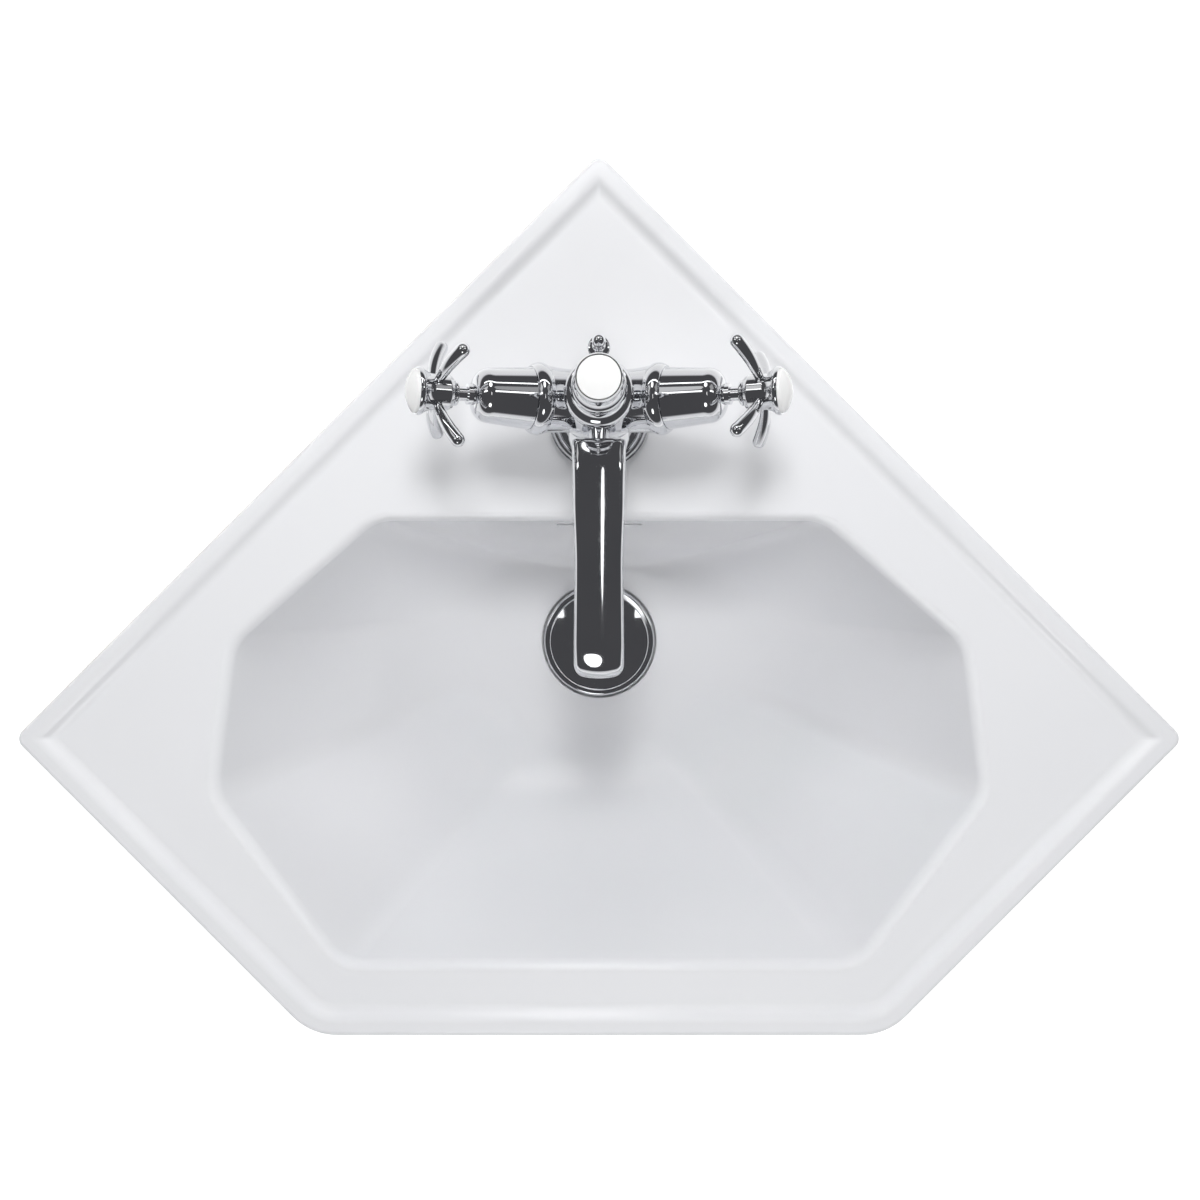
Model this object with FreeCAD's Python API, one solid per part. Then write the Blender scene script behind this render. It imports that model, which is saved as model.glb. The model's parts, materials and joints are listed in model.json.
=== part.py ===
import FreeCAD, Part
import math
import os

# Corner basin with a two-handle mixer and a pop-up waste.
# Origin: the corner where the two walls meet, at the height of the rim.
# +X right, +Y into the corner, +Z up. The basin opens towards -Y.
V = FreeCAD.Vector
X_AXIS = V(1, 0, 0)
Y_AXIS = V(0, 1, 0)
Z_AXIS = V(0, 0, 1)

# Clearances
RUN_FIT = 0.05          # radial, between a shaft and its bore
FREE_GAP = 0.3          # between pieces that move past each other

# Basin plan
WIDTH = 595.0           # across the two side corners
FRONT_EDGE = 293.0      # front edge, between its sharp corners
WALL_CORNER_R = 6.0     # corners that touch the walls
FRONT_CORNER_R = 33.0
CHINA_T = 12.0          # wall of the china

# Raised lip, deck and apron
LIP_WIDTH = 8.8
LIP_SLOPE = 4.4         # width of the slope from the lip down to the deck
LIP_STEP = 3.5          # deck below the top of the lip
LIP_ROUND = 2.5         # outer edge of the lip
DECK_T = 14.0
APRON_HEIGHT = 62.0
APRON_LEAN = 5.0        # the open sides lean in by this at their foot
WALL_SIDE_HEIGHT = 165.0
WALL_SIDE_FULL = 210.0  # length along each wall that keeps the full height

# Bowl: an octagon, back and side corners measured from the wall corner
BOWL_BACK = 186.2
BOWL_BACK_HALF = 115.0
BOWL_SHOULDER = 250.0
BOWL_HIP = 326.0
SHOULDER_MARGIN = 44.2  # deck between the walls and the shoulder corners
HIP_MARGIN = 51.2       # deck between the open sides and the hip corners
CHEEK_MARGIN = 36.1     # deck between the open sides and the front corners
FRONT_MARGIN = 36.5     # deck between the front edge and the bowl
BOWL_CORNER_R = 22.0
BOWL_DEPTH = 123.5      # deck to the floor round the waste
BOWL_CURVE = 3.0        # higher is steeper walls and a flatter floor
BOWL_RIM_ROUND = 5.0
FLOOR_HALF = 42.0       # half width of the flat floor round the waste
FLOOR_CORNER_R = 14.0
BOWL_STATIONS = (0.0, 0.08, 0.18, 0.3, 0.45, 0.65, 0.85, 1.0)

# Overflow
OVERFLOW_WIDTH = 45.0
OVERFLOW_SLOT = 7.0     # height of the slot
OVERFLOW_DROP = 13.0    # deck to the top of the slot
OVERFLOW_DUCT = 8.0     # depth of the duct behind the bowl
OVERFLOW_SKIN = 8.4     # china between the bowl and the duct
OVERFLOW_BACK = 7.2     # china behind the duct
OVERFLOW_FALL = 4.0     # how far the duct ends above and below the waste's slots

# Wall bolts
WALL_BOLT_R = 8.0
WALL_BOLT_ALONG = 118.0     # from the corner, along each wall
WALL_BOLT_DROP = 110.0      # below the rim

# Waste seat in the china
WASTE_BACK = 252.0      # wall corner to the waste
WASTE_HOLE_R = 23.0
SEAT_DEPTH = 3.0
SEAT_GAP = 0.5
WASTE_BOSS_R = 36.0
WASTE_BOSS_T = 38.0

# Mixer on the deck
TAP_BACK = 135.8        # wall corner to the tap
TAP_HOLE_R = 19.5
SEAL_T = 1.5
FOOT_R = 20.8
FOOT_HEIGHT = 9.0
FLANGE_R = 25.3
FLANGE_T = 6.0
COLUMN_R = 16.2
BULB_R = 18.6
SHOULDER_RING_R = 15.6
SHOULDER_RING_Z = 81.5
BODY_TOP = 92.0
CAP_SPIGOT_R = 5.0
CAP_SPIGOT_LENGTH = 8.0
CAP_RING_R = 11.9
CAP_RING_Z = 99.3
CAP_NECK_R = 8.8
CAP_RIM_R = 10.35
CAP_TOP = 117.2
INDEX_R = 9.5
INDEX_SEAT = 2.2        # depth of the seat of the top disc
INDEX_DOME = 1.0

# Arms and valves, measured along each arm from the tap's axis
ARM_TILT = 22.0         # degrees above level
ARM_Z = 54.1            # where the arms' axes cross, above the deck
ARM_R = 15.0
ARM_FACE = 28.4
ARM_BEAD_R = 16.3
ARM_END = 34.0
SOCKET_R = 9.5
SOCKET_FLOOR = 12.0
PORT_R = 2.6
PORT_OFFSET = 4.9
VALVE_SEAL_T = 1.2
DISC_R = 8.0
FIXED_DISC_T = 3.0
MOVING_DISC_T = 2.6
DISC_GAP = 0.05
VALVE_HEX = 19.0
VALVE_HEX_T = 7.4
VALVE_SHANK_R = 8.0
VALVE_SHANK_END = 51.0
GLAND_R = 4.6
GLAND_END = 63.0
SHROUD_ROOT_R = 14.0
SHROUD_END_R = 12.3
SHROUD_END = 60.5
SHROUD_DOME = 7.5
SHROUD_T = 1.3
SPINDLE_R = 3.1
SPINDLE_FLANGE_T = 2.0
SPINDLE_END = 74.0

# Handles
HUB_START = 67.5
HUB_END = 83.5
HUB_COLLAR_R = 4.6
HUB_R = 7.9
HUB_FLARE_R = 10.2
HUB_WEB_T = 2.2
HUB_SOCKET_R = 6.0
SCREW_R = 2.0
SCREW_HEAD_R = 3.6
SCREW_HEAD_T = 2.4
SCREW_LENGTH = 9.0
BEZEL_R = 10.6
BEZEL_T = 2.4
INDEX_DISC_R = 9.6
INDEX_EDGE = 2.4
INDEX_CROWN = 3.4
ARM_COUNT = 4
HANDLE_REACH = 26.8     # axis to the centre of an arm's tip
HANDLE_TIP = 71.0       # where the tips lie along the arm's axis
HANDLE_ROOT = 77.6
HANDLE_BOW = 1.3        # how far an arm bows out from its straight line
ROOT_R = 1.6
TIP_R = 2.95
HOT_ROLL = -12.5        # the hot handle stands turned by this
COLD_ROLL = 0.0

# Spout
SPOUT_ROOT_WIDTH = 26.2
SPOUT_WAIST_WIDTH = 22.0
SPOUT_TIP_WIDTH = 22.7
SPOUT_TOP = 75.5
SPOUT_DEPTH = 17.5
SPOUT_CORNER_R = 3.2
SPOUT_REACH = 126.0
SPOUT_NOSE_R = 4.5
OUTLET_REACH = 114.0
NOZZLE_R = 10.4
NOZZLE_DROP = 5.0
WATERWAY_R = 5.0
AERATOR_R = 8.5
AERATOR_DEPTH = 4.0
AERATOR_DROP = 4.0
AERATOR_WALL = 1.1
STRAIGHTENER_T = 3.0
STRAIGHTENER_HOLE_R = 0.55
STRAIGHTENER_PITCH = 2.0
STRAIGHTENER_RINGS = 3

# Inlets and the fixing under the deck
INLET_R = 5.0
INLET_DEPTH = 10.0
INLET_RECESS_R = 7.0    # oblong recess under the foot, round both inlets
INLET_RECESS = 2.5
INLET_OFFSET = 10.0
PASSAGE_R = 3.0
STUD_R = 4.0
STUD_FORWARD = 14.5
STUD_IN_BODY = 12.0
CLAMP_R = 24.5
CLAMP_T = 3.0
CLAMP_SLOT = 16.6       # half width of the gap for the hoses
CLAMP_BACK = 7.5        # stud's middle to the gap
CLAMP_CORNER_R = 5.0
NUT_AF = 13.0
NUT_T = 9.0
STUD_TAIL = 12.0

# Lift rod
ROD_BACK = 17.2         # behind the tap's axis
ROD_R = 1.8
ROD_TRAVEL = 22.0
ROD_BOSS_R = 4.6
ROD_BOSS_TOP = 93.4
ROD_END = 160.0         # below the deck
KNOB_COLLAR_R = 5.0
KNOB_BALL_R = 2.95
KNOB_BALL_Z = 106.5
KNOB_NECK_R = 1.95
KNOB_SOCKET = 6.0

# Waste, measured from its seat in the china
WASTE_FLANGE_R = 34.5
WASTE_FLANGE_T = 2.4
WASTE_SEAL_T = 1.0
WASTE_R = 20.95         # outside of the threads
WASTE_WALL = 3.4
WASTE_TUBE = 63.0
WASTE_SLOT_WIDTH = 12.0
WASTE_SLOT_TOP = 10.0
WASTE_SLOT_HEIGHT = 14.0
WASHER_T = 4.0
WASHER_R = 31.0
BACK_NUT_AF = 55.0
BACK_NUT_T = 8.0
TEE_TOP = 52.5
TEE_R = 25.5
TEE_SEAL_T = 2.0
TEE_FOOT = 92.0
TAIL_END = 132.0
PIVOT_DROP = 75.0       # seat to the lever's pivot
PIVOT_BACK = 32.0       # waste axis to the lever's pivot
PIVOT_BOSS_R = 10.5
PIVOT_BORE_R = 7.6
PIVOT_LIP_R = 4.4
BALL_R = 6.5
BALL_FIT = 0.1
PIVOT_NUT_WALL = 2.0
PIVOT_NUT_AF = 26.0

# Lever, plug and strap
LEVER_R = 2.5
LEVER_PAST_STRAP = 14.0
LEVER_PAST_PLUG = 7.0
EYE_FIT = 0.65          # slack of the lever in the plug's eye
STRAP_FIT = 0.35
LIFT_OUT = 0.3          # gap left under the closed plug
PLUG_R = 30.0
PLUG_T = 2.2
PLUG_CROWN = 3.0
PLUG_SEAL_R = 18.5
PLUG_SEAL_T = 2.6
STEM_R = 4.0
FIN_T = 2.0
FIN_COUNT = 3
FIN_TOP = 3.0
FIN_LENGTH = 26.0
TONGUE_WIDTH = 10.0
TONGUE_T = 6.0
TONGUE_BELOW = 6.5
STRAP_WIDTH = 12.0
STRAP_T = 1.6
STRAP_TOP = 128.0       # below the rim
STRAP_BELOW = 9.0       # below the lever
CLAMP_BLOCK = 10.0
THUMB_R = 5.5
THUMB_T = 4.0
CLIP_R = 5.0
CLIP_T = 1.2
CLIP_GAP = 1.4

# Worked out from the above
DEPTH = WIDTH / 2 + (WIDTH - FRONT_EDGE) / 2
UNDER_DECK = -LIP_STEP - DECK_T
BOWL_FRONT = DEPTH - FRONT_MARGIN
BOWL_SHOULDER_HALF = BOWL_SHOULDER - SHOULDER_MARGIN * math.sqrt(2)
BOWL_HIP_HALF = WIDTH - BOWL_HIP - HIP_MARGIN * math.sqrt(2)
BOWL_FRONT_HALF = WIDTH - BOWL_FRONT - CHEEK_MARGIN * math.sqrt(2)
TAP_ORIGIN = V(0, -TAP_BACK, -LIP_STEP)
SEAT_Z = -(LIP_STEP + BOWL_DEPTH + SEAT_DEPTH)
WASTE_ORIGIN = V(0, -WASTE_BACK, SEAT_Z)
FLANGE_TOP = WASTE_SEAL_T + WASTE_FLANGE_T
FIXED_DISC_START = SOCKET_FLOOR + VALVE_SEAL_T
MOVING_DISC_START = FIXED_DISC_START + FIXED_DISC_T + DISC_GAP
SPINDLE_START = MOVING_DISC_START + MOVING_DISC_T
VALVE_SHOULDER = SPINDLE_START + SPINDLE_FLANGE_T + FREE_GAP
SPOUT_BOTTOM = SPOUT_TOP - SPOUT_DEPTH
NOZZLE_END = SPOUT_BOTTOM - NOZZLE_DROP
OUTER_ARM = WASTE_BACK - PIVOT_BACK - TAP_BACK + ROD_BACK - ROD_R - STRAP_T / 2
LEVER_SLOPE = ROD_TRAVEL / 2 / OUTER_ARM
LEVER_TILT = math.degrees(math.atan(LEVER_SLOPE))
PLUG_LIFT = 2 * PIVOT_BACK * LEVER_SLOPE
EYE_Z = -PIVOT_DROP + PIVOT_BACK * LEVER_SLOPE
PLUG_BASE = FLANGE_TOP + LIFT_OUT + PLUG_LIFT


# ---------- small tools ----------

def cylinder(r, z0, z1, x=0.0, y=0.0):
    return Part.makeCylinder(r, z1 - z0, V(x, y, z0))


def ring(r_in, r_out, z0, z1, x=0.0, y=0.0):
    return cylinder(r_out, z0, z1, x, y).cut(cylinder(r_in, z0 - 1, z1 + 1, x, y))


def block(x0, x1, y0, y1, z0, z1):
    return Part.makeBox(x1 - x0, y1 - y0, z1 - z0, V(x0, y0, z0))


def hexagon(across_flats, z0, z1, x=0.0, y=0.0):
    r = across_flats / 2 / math.cos(math.pi / 6)
    turns = [math.radians(30 + 60 * i) for i in range(7)]
    points = [V(x + r * math.cos(a), y + r * math.sin(a), z0) for a in turns]
    return Part.Face(Part.makePolygon(points)).extrude(V(0, 0, z1 - z0))


def turned(profile):
    """Solid of revolution about Z. Each step is (r, z) for a straight run,
    or (r_mid, z_mid, r, z) for an arc."""
    edges = []
    here = V(profile[0][0], 0, profile[0][1])
    for step in profile[1:] + [profile[0]]:
        there = V(step[-2], 0, step[-1])
        if there.distanceToPoint(here) < 1e-6:
            continue
        if len(step) == 4:
            edges.append(Part.Arc(here, V(step[0], 0, step[1]), there).toShape())
        else:
            edges.append(Part.LineSegment(here, there).toShape())
        here = there
    return Part.Face(Part.Wire(edges)).revolve(V(0, 0, 0), Z_AXIS, 360)


def dome(r, z, height):
    """Step of a turned profile: a ball-shaped dome from (r, z) up to the axis."""
    ball = (r * r + height * height) / (2 * height)
    half = math.asin(r / ball) / 2
    return (ball * math.sin(half), z + height - ball * (1 - math.cos(half)), 0, z + height)


def joined(shapes):
    whole = shapes[0]
    for shape in shapes[1:]:
        whole = whole.fuse(shape)
    return whole.removeSplitter()


def moved(shape, offset):
    copy = shape.copy()
    copy.translate(offset)
    return copy


def turned_about(shape, axis, degrees, centre=V(0, 0, 0)):
    copy = shape.copy()
    copy.rotate(centre, axis, degrees)
    return copy


def rounded_loop(points, radii, z):
    """Closed wire through the points, each corner rounded by its own radius."""
    count = len(points)
    starts = []
    arcs = []
    for i in range(count):
        here = V(points[i][0], points[i][1], z)
        back = V(points[i - 1][0], points[i - 1][1], z) - here
        ahead = V(points[(i + 1) % count][0], points[(i + 1) % count][1], z) - here
        back.normalize()
        ahead.normalize()
        half = back.getAngle(ahead) / 2
        reach = radii[i] / math.tan(half)
        middle = back + ahead
        middle.normalize()
        centre = here + middle * (radii[i] / math.sin(half))
        arcs.append((here + back * reach, centre - middle * radii[i], here + ahead * reach))
        starts.append(arcs[-1][0])
    edges = []
    for i in range(count):
        edges.append(Part.Arc(*arcs[i]).toShape())
        edges.append(Part.LineSegment(arcs[i][2], starts[(i + 1) % count]).toShape())
    return Part.Wire(edges)


# ---------- basin ----------

def basin_corners(wall_inset, open_inset):
    """Corners of the plan, from the wall corner round by the left."""
    slant = math.sqrt(2)
    back = V(0, -wall_inset * slant, 0)
    side_x = (WIDTH - (wall_inset + open_inset) * slant) / 2
    side_y = -(WIDTH + (wall_inset - open_inset) * slant) / 2
    front_y = -DEPTH + open_inset
    front_x = WIDTH - open_inset * slant + front_y
    return [(back.x, back.y), (-side_x, side_y), (-front_x, front_y),
            (front_x, front_y), (side_x, side_y)]


def basin_loop(z, wall_inset=0.0, open_inset=0.0):
    wall_r = max(WALL_CORNER_R - wall_inset, 1.0)
    side_r = max(WALL_CORNER_R - open_inset, 1.0)
    front_r = max(FRONT_CORNER_R - open_inset, 4.0)
    radii = [wall_r, side_r, front_r, front_r, side_r]
    return rounded_loop(basin_corners(wall_inset, open_inset), radii, z)


def loft(wires, ruled=True):
    return Part.makeLoft(wires, True, ruled)


def apron():
    top = basin_loop(0)
    foot = basin_loop(-APRON_HEIGHT, 0.0, APRON_LEAN)
    body = loft([top, foot])
    rim = [e for e in body.Edges if abs(e.BoundBox.ZMin) < 1e-3 and abs(e.BoundBox.ZMax) < 1e-3]
    return body.makeFillet(LIP_ROUND, rim)


def wall_side(side):
    """Tall side against one wall, lower towards the side corner."""
    length = WIDTH / math.sqrt(2) - WALL_CORNER_R
    start = WALL_CORNER_R
    low = -WALL_SIDE_HEIGHT
    outline = [(start, -APRON_HEIGHT / 2), (length, -APRON_HEIGHT / 2),
               (length, -APRON_HEIGHT), (WALL_SIDE_FULL, low),
               (start, low)]
    points = [V(s, 0, z) for s, z in outline]
    panel = Part.Face(Part.makePolygon(points + [points[0]])).extrude(V(0, -CHINA_T, 0))
    panel = turned_about(panel, Z_AXIS, -45)
    if side > 0:
        return panel
    return panel.mirror(V(0, 0, 0), X_AXIS)


def corner_post():
    """Rounded upright where the two wall sides meet."""
    low = basin_loop(-WALL_SIDE_HEIGHT)
    post = Part.Face(low).extrude(V(0, 0, WALL_SIDE_HEIGHT - APRON_HEIGHT / 2))
    reach = CHINA_T * math.sqrt(2) + WALL_CORNER_R
    return post.common(block(-reach, reach, -reach, 0, -WALL_SIDE_HEIGHT, 0))


def bowl_corners(blend, grow=0.0):
    """Eight corners of the bowl, from the rim (0) to the floor (1)."""
    half = FLOOR_HALF * math.tan(math.pi / 8)
    rim = [(BOWL_BACK_HALF, -BOWL_BACK), (BOWL_SHOULDER_HALF, -BOWL_SHOULDER),
           (BOWL_HIP_HALF, -BOWL_HIP), (BOWL_FRONT_HALF, -BOWL_FRONT)]
    floor = [(half, FLOOR_HALF - WASTE_BACK), (FLOOR_HALF, half - WASTE_BACK),
             (FLOOR_HALF, -half - WASTE_BACK), (half, -FLOOR_HALF - WASTE_BACK)]
    middle = -(BOWL_BACK + BOWL_FRONT) / 2
    right = []
    for (x0, y0), (x1, y1) in zip(rim, floor):
        x = x0 + (x1 - x0) * blend
        y = y0 + (y1 - y0) * blend
        centre_y = middle + (-WASTE_BACK - middle) * blend
        away = V(x, y - centre_y, 0)
        stretch = 1 + grow / away.Length
        right.append((x * stretch, centre_y + (y - centre_y) * stretch))
    left = [(-x, y) for x, y in reversed(right)]
    return right + left


def bowl_shape(grow=0.0, drop=0.0):
    """The bowl as a solid, or its outside when grown and dropped."""
    wires = []
    for blend in BOWL_STATIONS:
        depth = BOWL_DEPTH * (1 - (1 - blend) ** BOWL_CURVE)
        radius = BOWL_CORNER_R + (FLOOR_CORNER_R - BOWL_CORNER_R) * blend
        z = -LIP_STEP - depth - drop * min(1.0, blend * 3)
        wires.append(rounded_loop(bowl_corners(blend, grow), [radius] * 8, z))
    return loft(wires, False)


def overflow_duct():
    front = -BOWL_BACK + OVERFLOW_SKIN
    back = front + OVERFLOW_DUCT
    top = -LIP_STEP - OVERFLOW_DROP
    bend = SEAT_Z + CHINA_T
    throat = -WASTE_BACK + WASTE_HOLE_R - OVERFLOW_FALL
    slot_low = SEAT_Z - WASTE_SLOT_TOP - WASTE_SLOT_HEIGHT
    outline = [(front, top), (back, top), (back, bend - OVERFLOW_DUCT / 2),
               (throat, slot_low - OVERFLOW_FALL),
               (throat, SEAT_Z - WASTE_SLOT_TOP - OVERFLOW_FALL), (front, bend)]
    duct = side_profile(outline, OVERFLOW_WIDTH - OVERFLOW_SLOT)
    half = OVERFLOW_WIDTH / 2
    mouth = block(-half, half, front - CHINA_T * 2, back, top - OVERFLOW_SLOT, top)
    upright = [e for e in mouth.Edges if e.BoundBox.YLength > CHINA_T]
    return duct.fuse(mouth.makeFillet(OVERFLOW_SLOT * 0.45, upright))


def side_profile(outline, width):
    """Outline in Y and Z, made as wide as stated about the middle."""
    points = [V(-width / 2, y, z) for y, z in outline]
    return Part.Face(Part.makePolygon(points + [points[0]])).extrude(V(width, 0, 0))


def overflow_cover():
    """China round the overflow duct, behind and under the bowl."""
    front = -BOWL_BACK - OVERFLOW_BACK
    back = -BOWL_BACK + OVERFLOW_SKIN + OVERFLOW_DUCT + OVERFLOW_BACK
    top = -LIP_STEP - DECK_T / 2
    bend = SEAT_Z - OVERFLOW_DUCT
    low = SEAT_Z - WASTE_BOSS_T
    outline = [(front, top), (back, top), (back, bend),
               (-WASTE_BACK + WASTE_BOSS_R - OVERFLOW_FALL, low), (-WASTE_BACK, low),
               (-WASTE_BACK, SEAT_Z - CHINA_T), (front, SEAT_Z + CHINA_T)]
    return side_profile(outline, OVERFLOW_WIDTH + CHINA_T)


def wall_bolt_hole(side):
    hole = cylinder(WALL_BOLT_R, -CHINA_T * 2, CHINA_T * 2)
    hole = turned_about(hole, X_AXIS, 90)
    hole = moved(hole, V(WALL_BOLT_ALONG, 0, -WALL_BOLT_DROP))
    hole = turned_about(hole, Z_AXIS, -45)
    if side > 0:
        return hole
    return hole.mirror(V(0, 0, 0), X_AXIS)


def china():
    """The whole casting: lip, deck, apron, wall sides, bowl, waste boss and overflow."""
    shell = joined([apron(), wall_side(1), wall_side(-1), corner_post()])
    hollow = loft([basin_loop(UNDER_DECK, CHINA_T, CHINA_T),
                   basin_loop(-WALL_SIDE_HEIGHT - 1, CHINA_T, CHINA_T + APRON_LEAN)])
    boss = cylinder(WASTE_BOSS_R, SEAT_Z - WASTE_BOSS_T, SEAT_Z, 0, -WASTE_BACK)
    body = joined([shell.cut(hollow), bowl_shape(CHINA_T, CHINA_T), boss, overflow_cover()])
    inset = LIP_WIDTH + LIP_SLOPE
    body = body.cut(loft([basin_loop(0.01, LIP_WIDTH, LIP_WIDTH),
                          basin_loop(-LIP_STEP, inset, inset)]))
    body = body.cut(bowl_shape())
    body = body.makeFillet(BOWL_RIM_ROUND, [e for e in body.Edges if is_bowl_rim(e)])
    body = body.cut(cylinder(WASTE_FLANGE_R + SEAT_GAP, SEAT_Z, -LIP_STEP, 0, -WASTE_BACK))
    body = body.cut(cylinder(WASTE_HOLE_R, SEAT_Z - WASTE_BOSS_T - 1, SEAT_Z + 1, 0, -WASTE_BACK))
    body = body.cut(cylinder(TAP_HOLE_R, UNDER_DECK - 1, 1, 0, -TAP_BACK))
    body = body.cut(overflow_duct())
    for side in (1, -1):
        body = body.cut(wall_bolt_hole(side))
    return body


def wall_side_space(side):
    """Space of one wall side, under the deck and against its wall."""
    space = block(0, WIDTH, -CHINA_T, 1, -WALL_SIDE_HEIGHT - 1, UNDER_DECK)
    space = turned_about(space, Z_AXIS, -45)
    space = space.cut(block(-WIDTH, 0, -WIDTH, WIDTH, -WALL_SIDE_HEIGHT - 2, 0))
    if side > 0:
        return space
    return space.mirror(V(0, 0, 0), X_AXIS)


def basin_pieces():
    """The casting in three parts that meet face to face: the basin and its two wall sides."""
    whole = china()
    left = whole.common(wall_side_space(-1))
    right = whole.common(wall_side_space(1))
    rest = whole.cut(wall_side_space(-1)).cut(wall_side_space(1))
    return {"basin": rest, "basin_left_wall_side": left, "basin_right_wall_side": right}


def is_bowl_rim(edge):
    box = edge.BoundBox
    level = abs(box.ZMin + LIP_STEP) < 1e-3 and abs(box.ZMax + LIP_STEP) < 1e-3
    inside = box.YMin > -BOWL_FRONT - 1 and box.YMax < -BOWL_BACK + 1
    return level and inside and max(abs(box.XMin), abs(box.XMax)) < BOWL_HIP_HALF + 1


# ---------- mixer body ----------

def along_arm(shape, side):
    """Places a piece made along +Z on the arm of one side."""
    tilted = turned_about(shape, Y_AXIS, side * (90 - ARM_TILT))
    return moved(tilted, TAP_ORIGIN + V(0, 0, ARM_Z))


def on_tap(shape):
    return moved(shape, TAP_ORIGIN)


def column():
    ring_low = SHOULDER_RING_Z - 3.0
    ring_high = SHOULDER_RING_Z + 3.0
    return turned([
        (0, SEAL_T), (FOOT_R, SEAL_T), (FOOT_R, FOOT_HEIGHT),
        (COLUMN_R + 1.2, FOOT_HEIGHT + 2, COLUMN_R, FOOT_HEIGHT + 7),
        (COLUMN_R, ARM_Z - ARM_R - 4),
        (BULB_R, ARM_Z, COLUMN_R - 1.5, ARM_Z + ARM_R + 1),
        (COLUMN_R - 3.4, ring_low - 2.5, SHOULDER_RING_R - 1.4, ring_low),
        (SHOULDER_RING_R, SHOULDER_RING_Z, SHOULDER_RING_R - 1.6, ring_high),
        (CAP_RING_R + 0.2, ring_high + 1.2, CAP_RING_R - 0.6, BODY_TOP),
        (0, BODY_TOP)])


def arm_stub(side):
    stub = turned([
        (0, 2), (ARM_R + 0.6, 2), (ARM_R - 0.6, ARM_FACE * 0.55, ARM_R + 0.4, ARM_FACE - 1.5),
        (ARM_BEAD_R, (ARM_FACE + ARM_END) / 2, ARM_BEAD_R - 1.6, ARM_END), (0, ARM_END)])
    return turned_about(stub, Y_AXIS, side * (90 - ARM_TILT)).translated(V(0, 0, ARM_Z))


def arm_bores(side):
    """Valve socket, its two ports and the recess for the valve's hexagon."""
    recess = VALVE_HEX / 2 / math.cos(math.pi / 6) + FREE_GAP
    bores = joined([cylinder(SOCKET_R, SOCKET_FLOOR, ARM_END + 1),
                    cylinder(recess, ARM_FACE, ARM_END + 1)])
    feed = cylinder(PASSAGE_R, SOCKET_FLOOR - 4.5, SOCKET_FLOOR + 1, side * PORT_OFFSET)
    mixed = cylinder(PASSAGE_R, 0, SOCKET_FLOOR + 1, -side * PORT_OFFSET)
    bores = joined([bores, feed, mixed])
    return turned_about(bores, Y_AXIS, side * (90 - ARM_TILT)).translated(V(0, 0, ARM_Z))


def inlet_bore(side):
    x = side * INLET_OFFSET
    start = SEAL_T + INLET_RECESS
    return joined([cylinder(INLET_R, SEAL_T, start + INLET_DEPTH, x),
                   cylinder(PASSAGE_R, SEAL_T, ARM_Z, x)])


def inlet_recess():
    top = SEAL_T + INLET_RECESS
    return joined([cylinder(INLET_RECESS_R, 0, top, -INLET_OFFSET),
                   cylinder(INLET_RECESS_R, 0, top, INLET_OFFSET),
                   block(-INLET_OFFSET, INLET_OFFSET, -INLET_RECESS_R, INLET_RECESS_R, 0, top)])


def mixing_chamber():
    """Upright chamber with its way out to the spout."""
    centre = ARM_Z + SOCKET_FLOOR / 2
    way_out = SPOUT_TOP - SPOUT_DEPTH / 2
    chamber = cylinder(WATERWAY_R * 0.9, centre - 2, way_out + 3, 0, -WATERWAY_R * 0.4)
    outlet = Part.makeCylinder(WATERWAY_R, COLUMN_R + 10, V(0, -2, way_out), -Y_AXIS)
    return joined([chamber, outlet])


def tap_body_solid():
    boss = joined([cylinder(ROD_BOSS_R, FOOT_HEIGHT, ROD_BOSS_TOP, 0, ROD_BACK),
                   block(-ROD_BOSS_R * 0.7, ROD_BOSS_R * 0.7, COLUMN_R * 0.6, ROD_BACK,
                         FOOT_HEIGHT, BODY_TOP - 3)])
    return joined([column(), arm_stub(1), arm_stub(-1), boss])


def tap_body():
    body = tap_body_solid()
    for side in (1, -1):
        body = body.cut(arm_bores(side)).cut(inlet_bore(side))
    body = body.cut(inlet_recess()).cut(mixing_chamber())
    body = body.cut(cylinder(ROD_R + RUN_FIT, 0, ROD_BOSS_TOP + 1, 0, ROD_BACK))
    body = body.cut(cylinder(STUD_R, 0, SEAL_T + STUD_IN_BODY, 0, -STUD_FORWARD))
    return body.cut(cylinder(CAP_SPIGOT_R + RUN_FIT, BODY_TOP - CAP_SPIGOT_LENGTH - FREE_GAP,
                             BODY_TOP + 1))


def base_flange():
    r_in = FOOT_R + RUN_FIT
    top = SEAL_T + FLANGE_T
    return turned([
        (r_in, SEAL_T), (FLANGE_R, SEAL_T), (FLANGE_R, SEAL_T + 1.6),
        (FLANGE_R - 0.3, SEAL_T + 2.3, FLANGE_R - 1.0, SEAL_T + 2.5),
        (FLANGE_R - 1.0, SEAL_T + 3.0),
        (FLANGE_R - 1.6, top - 1.6, FLANGE_R - 3.0, top - 0.7),
        (FLANGE_R - 3.2, top), (r_in, top)])


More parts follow.
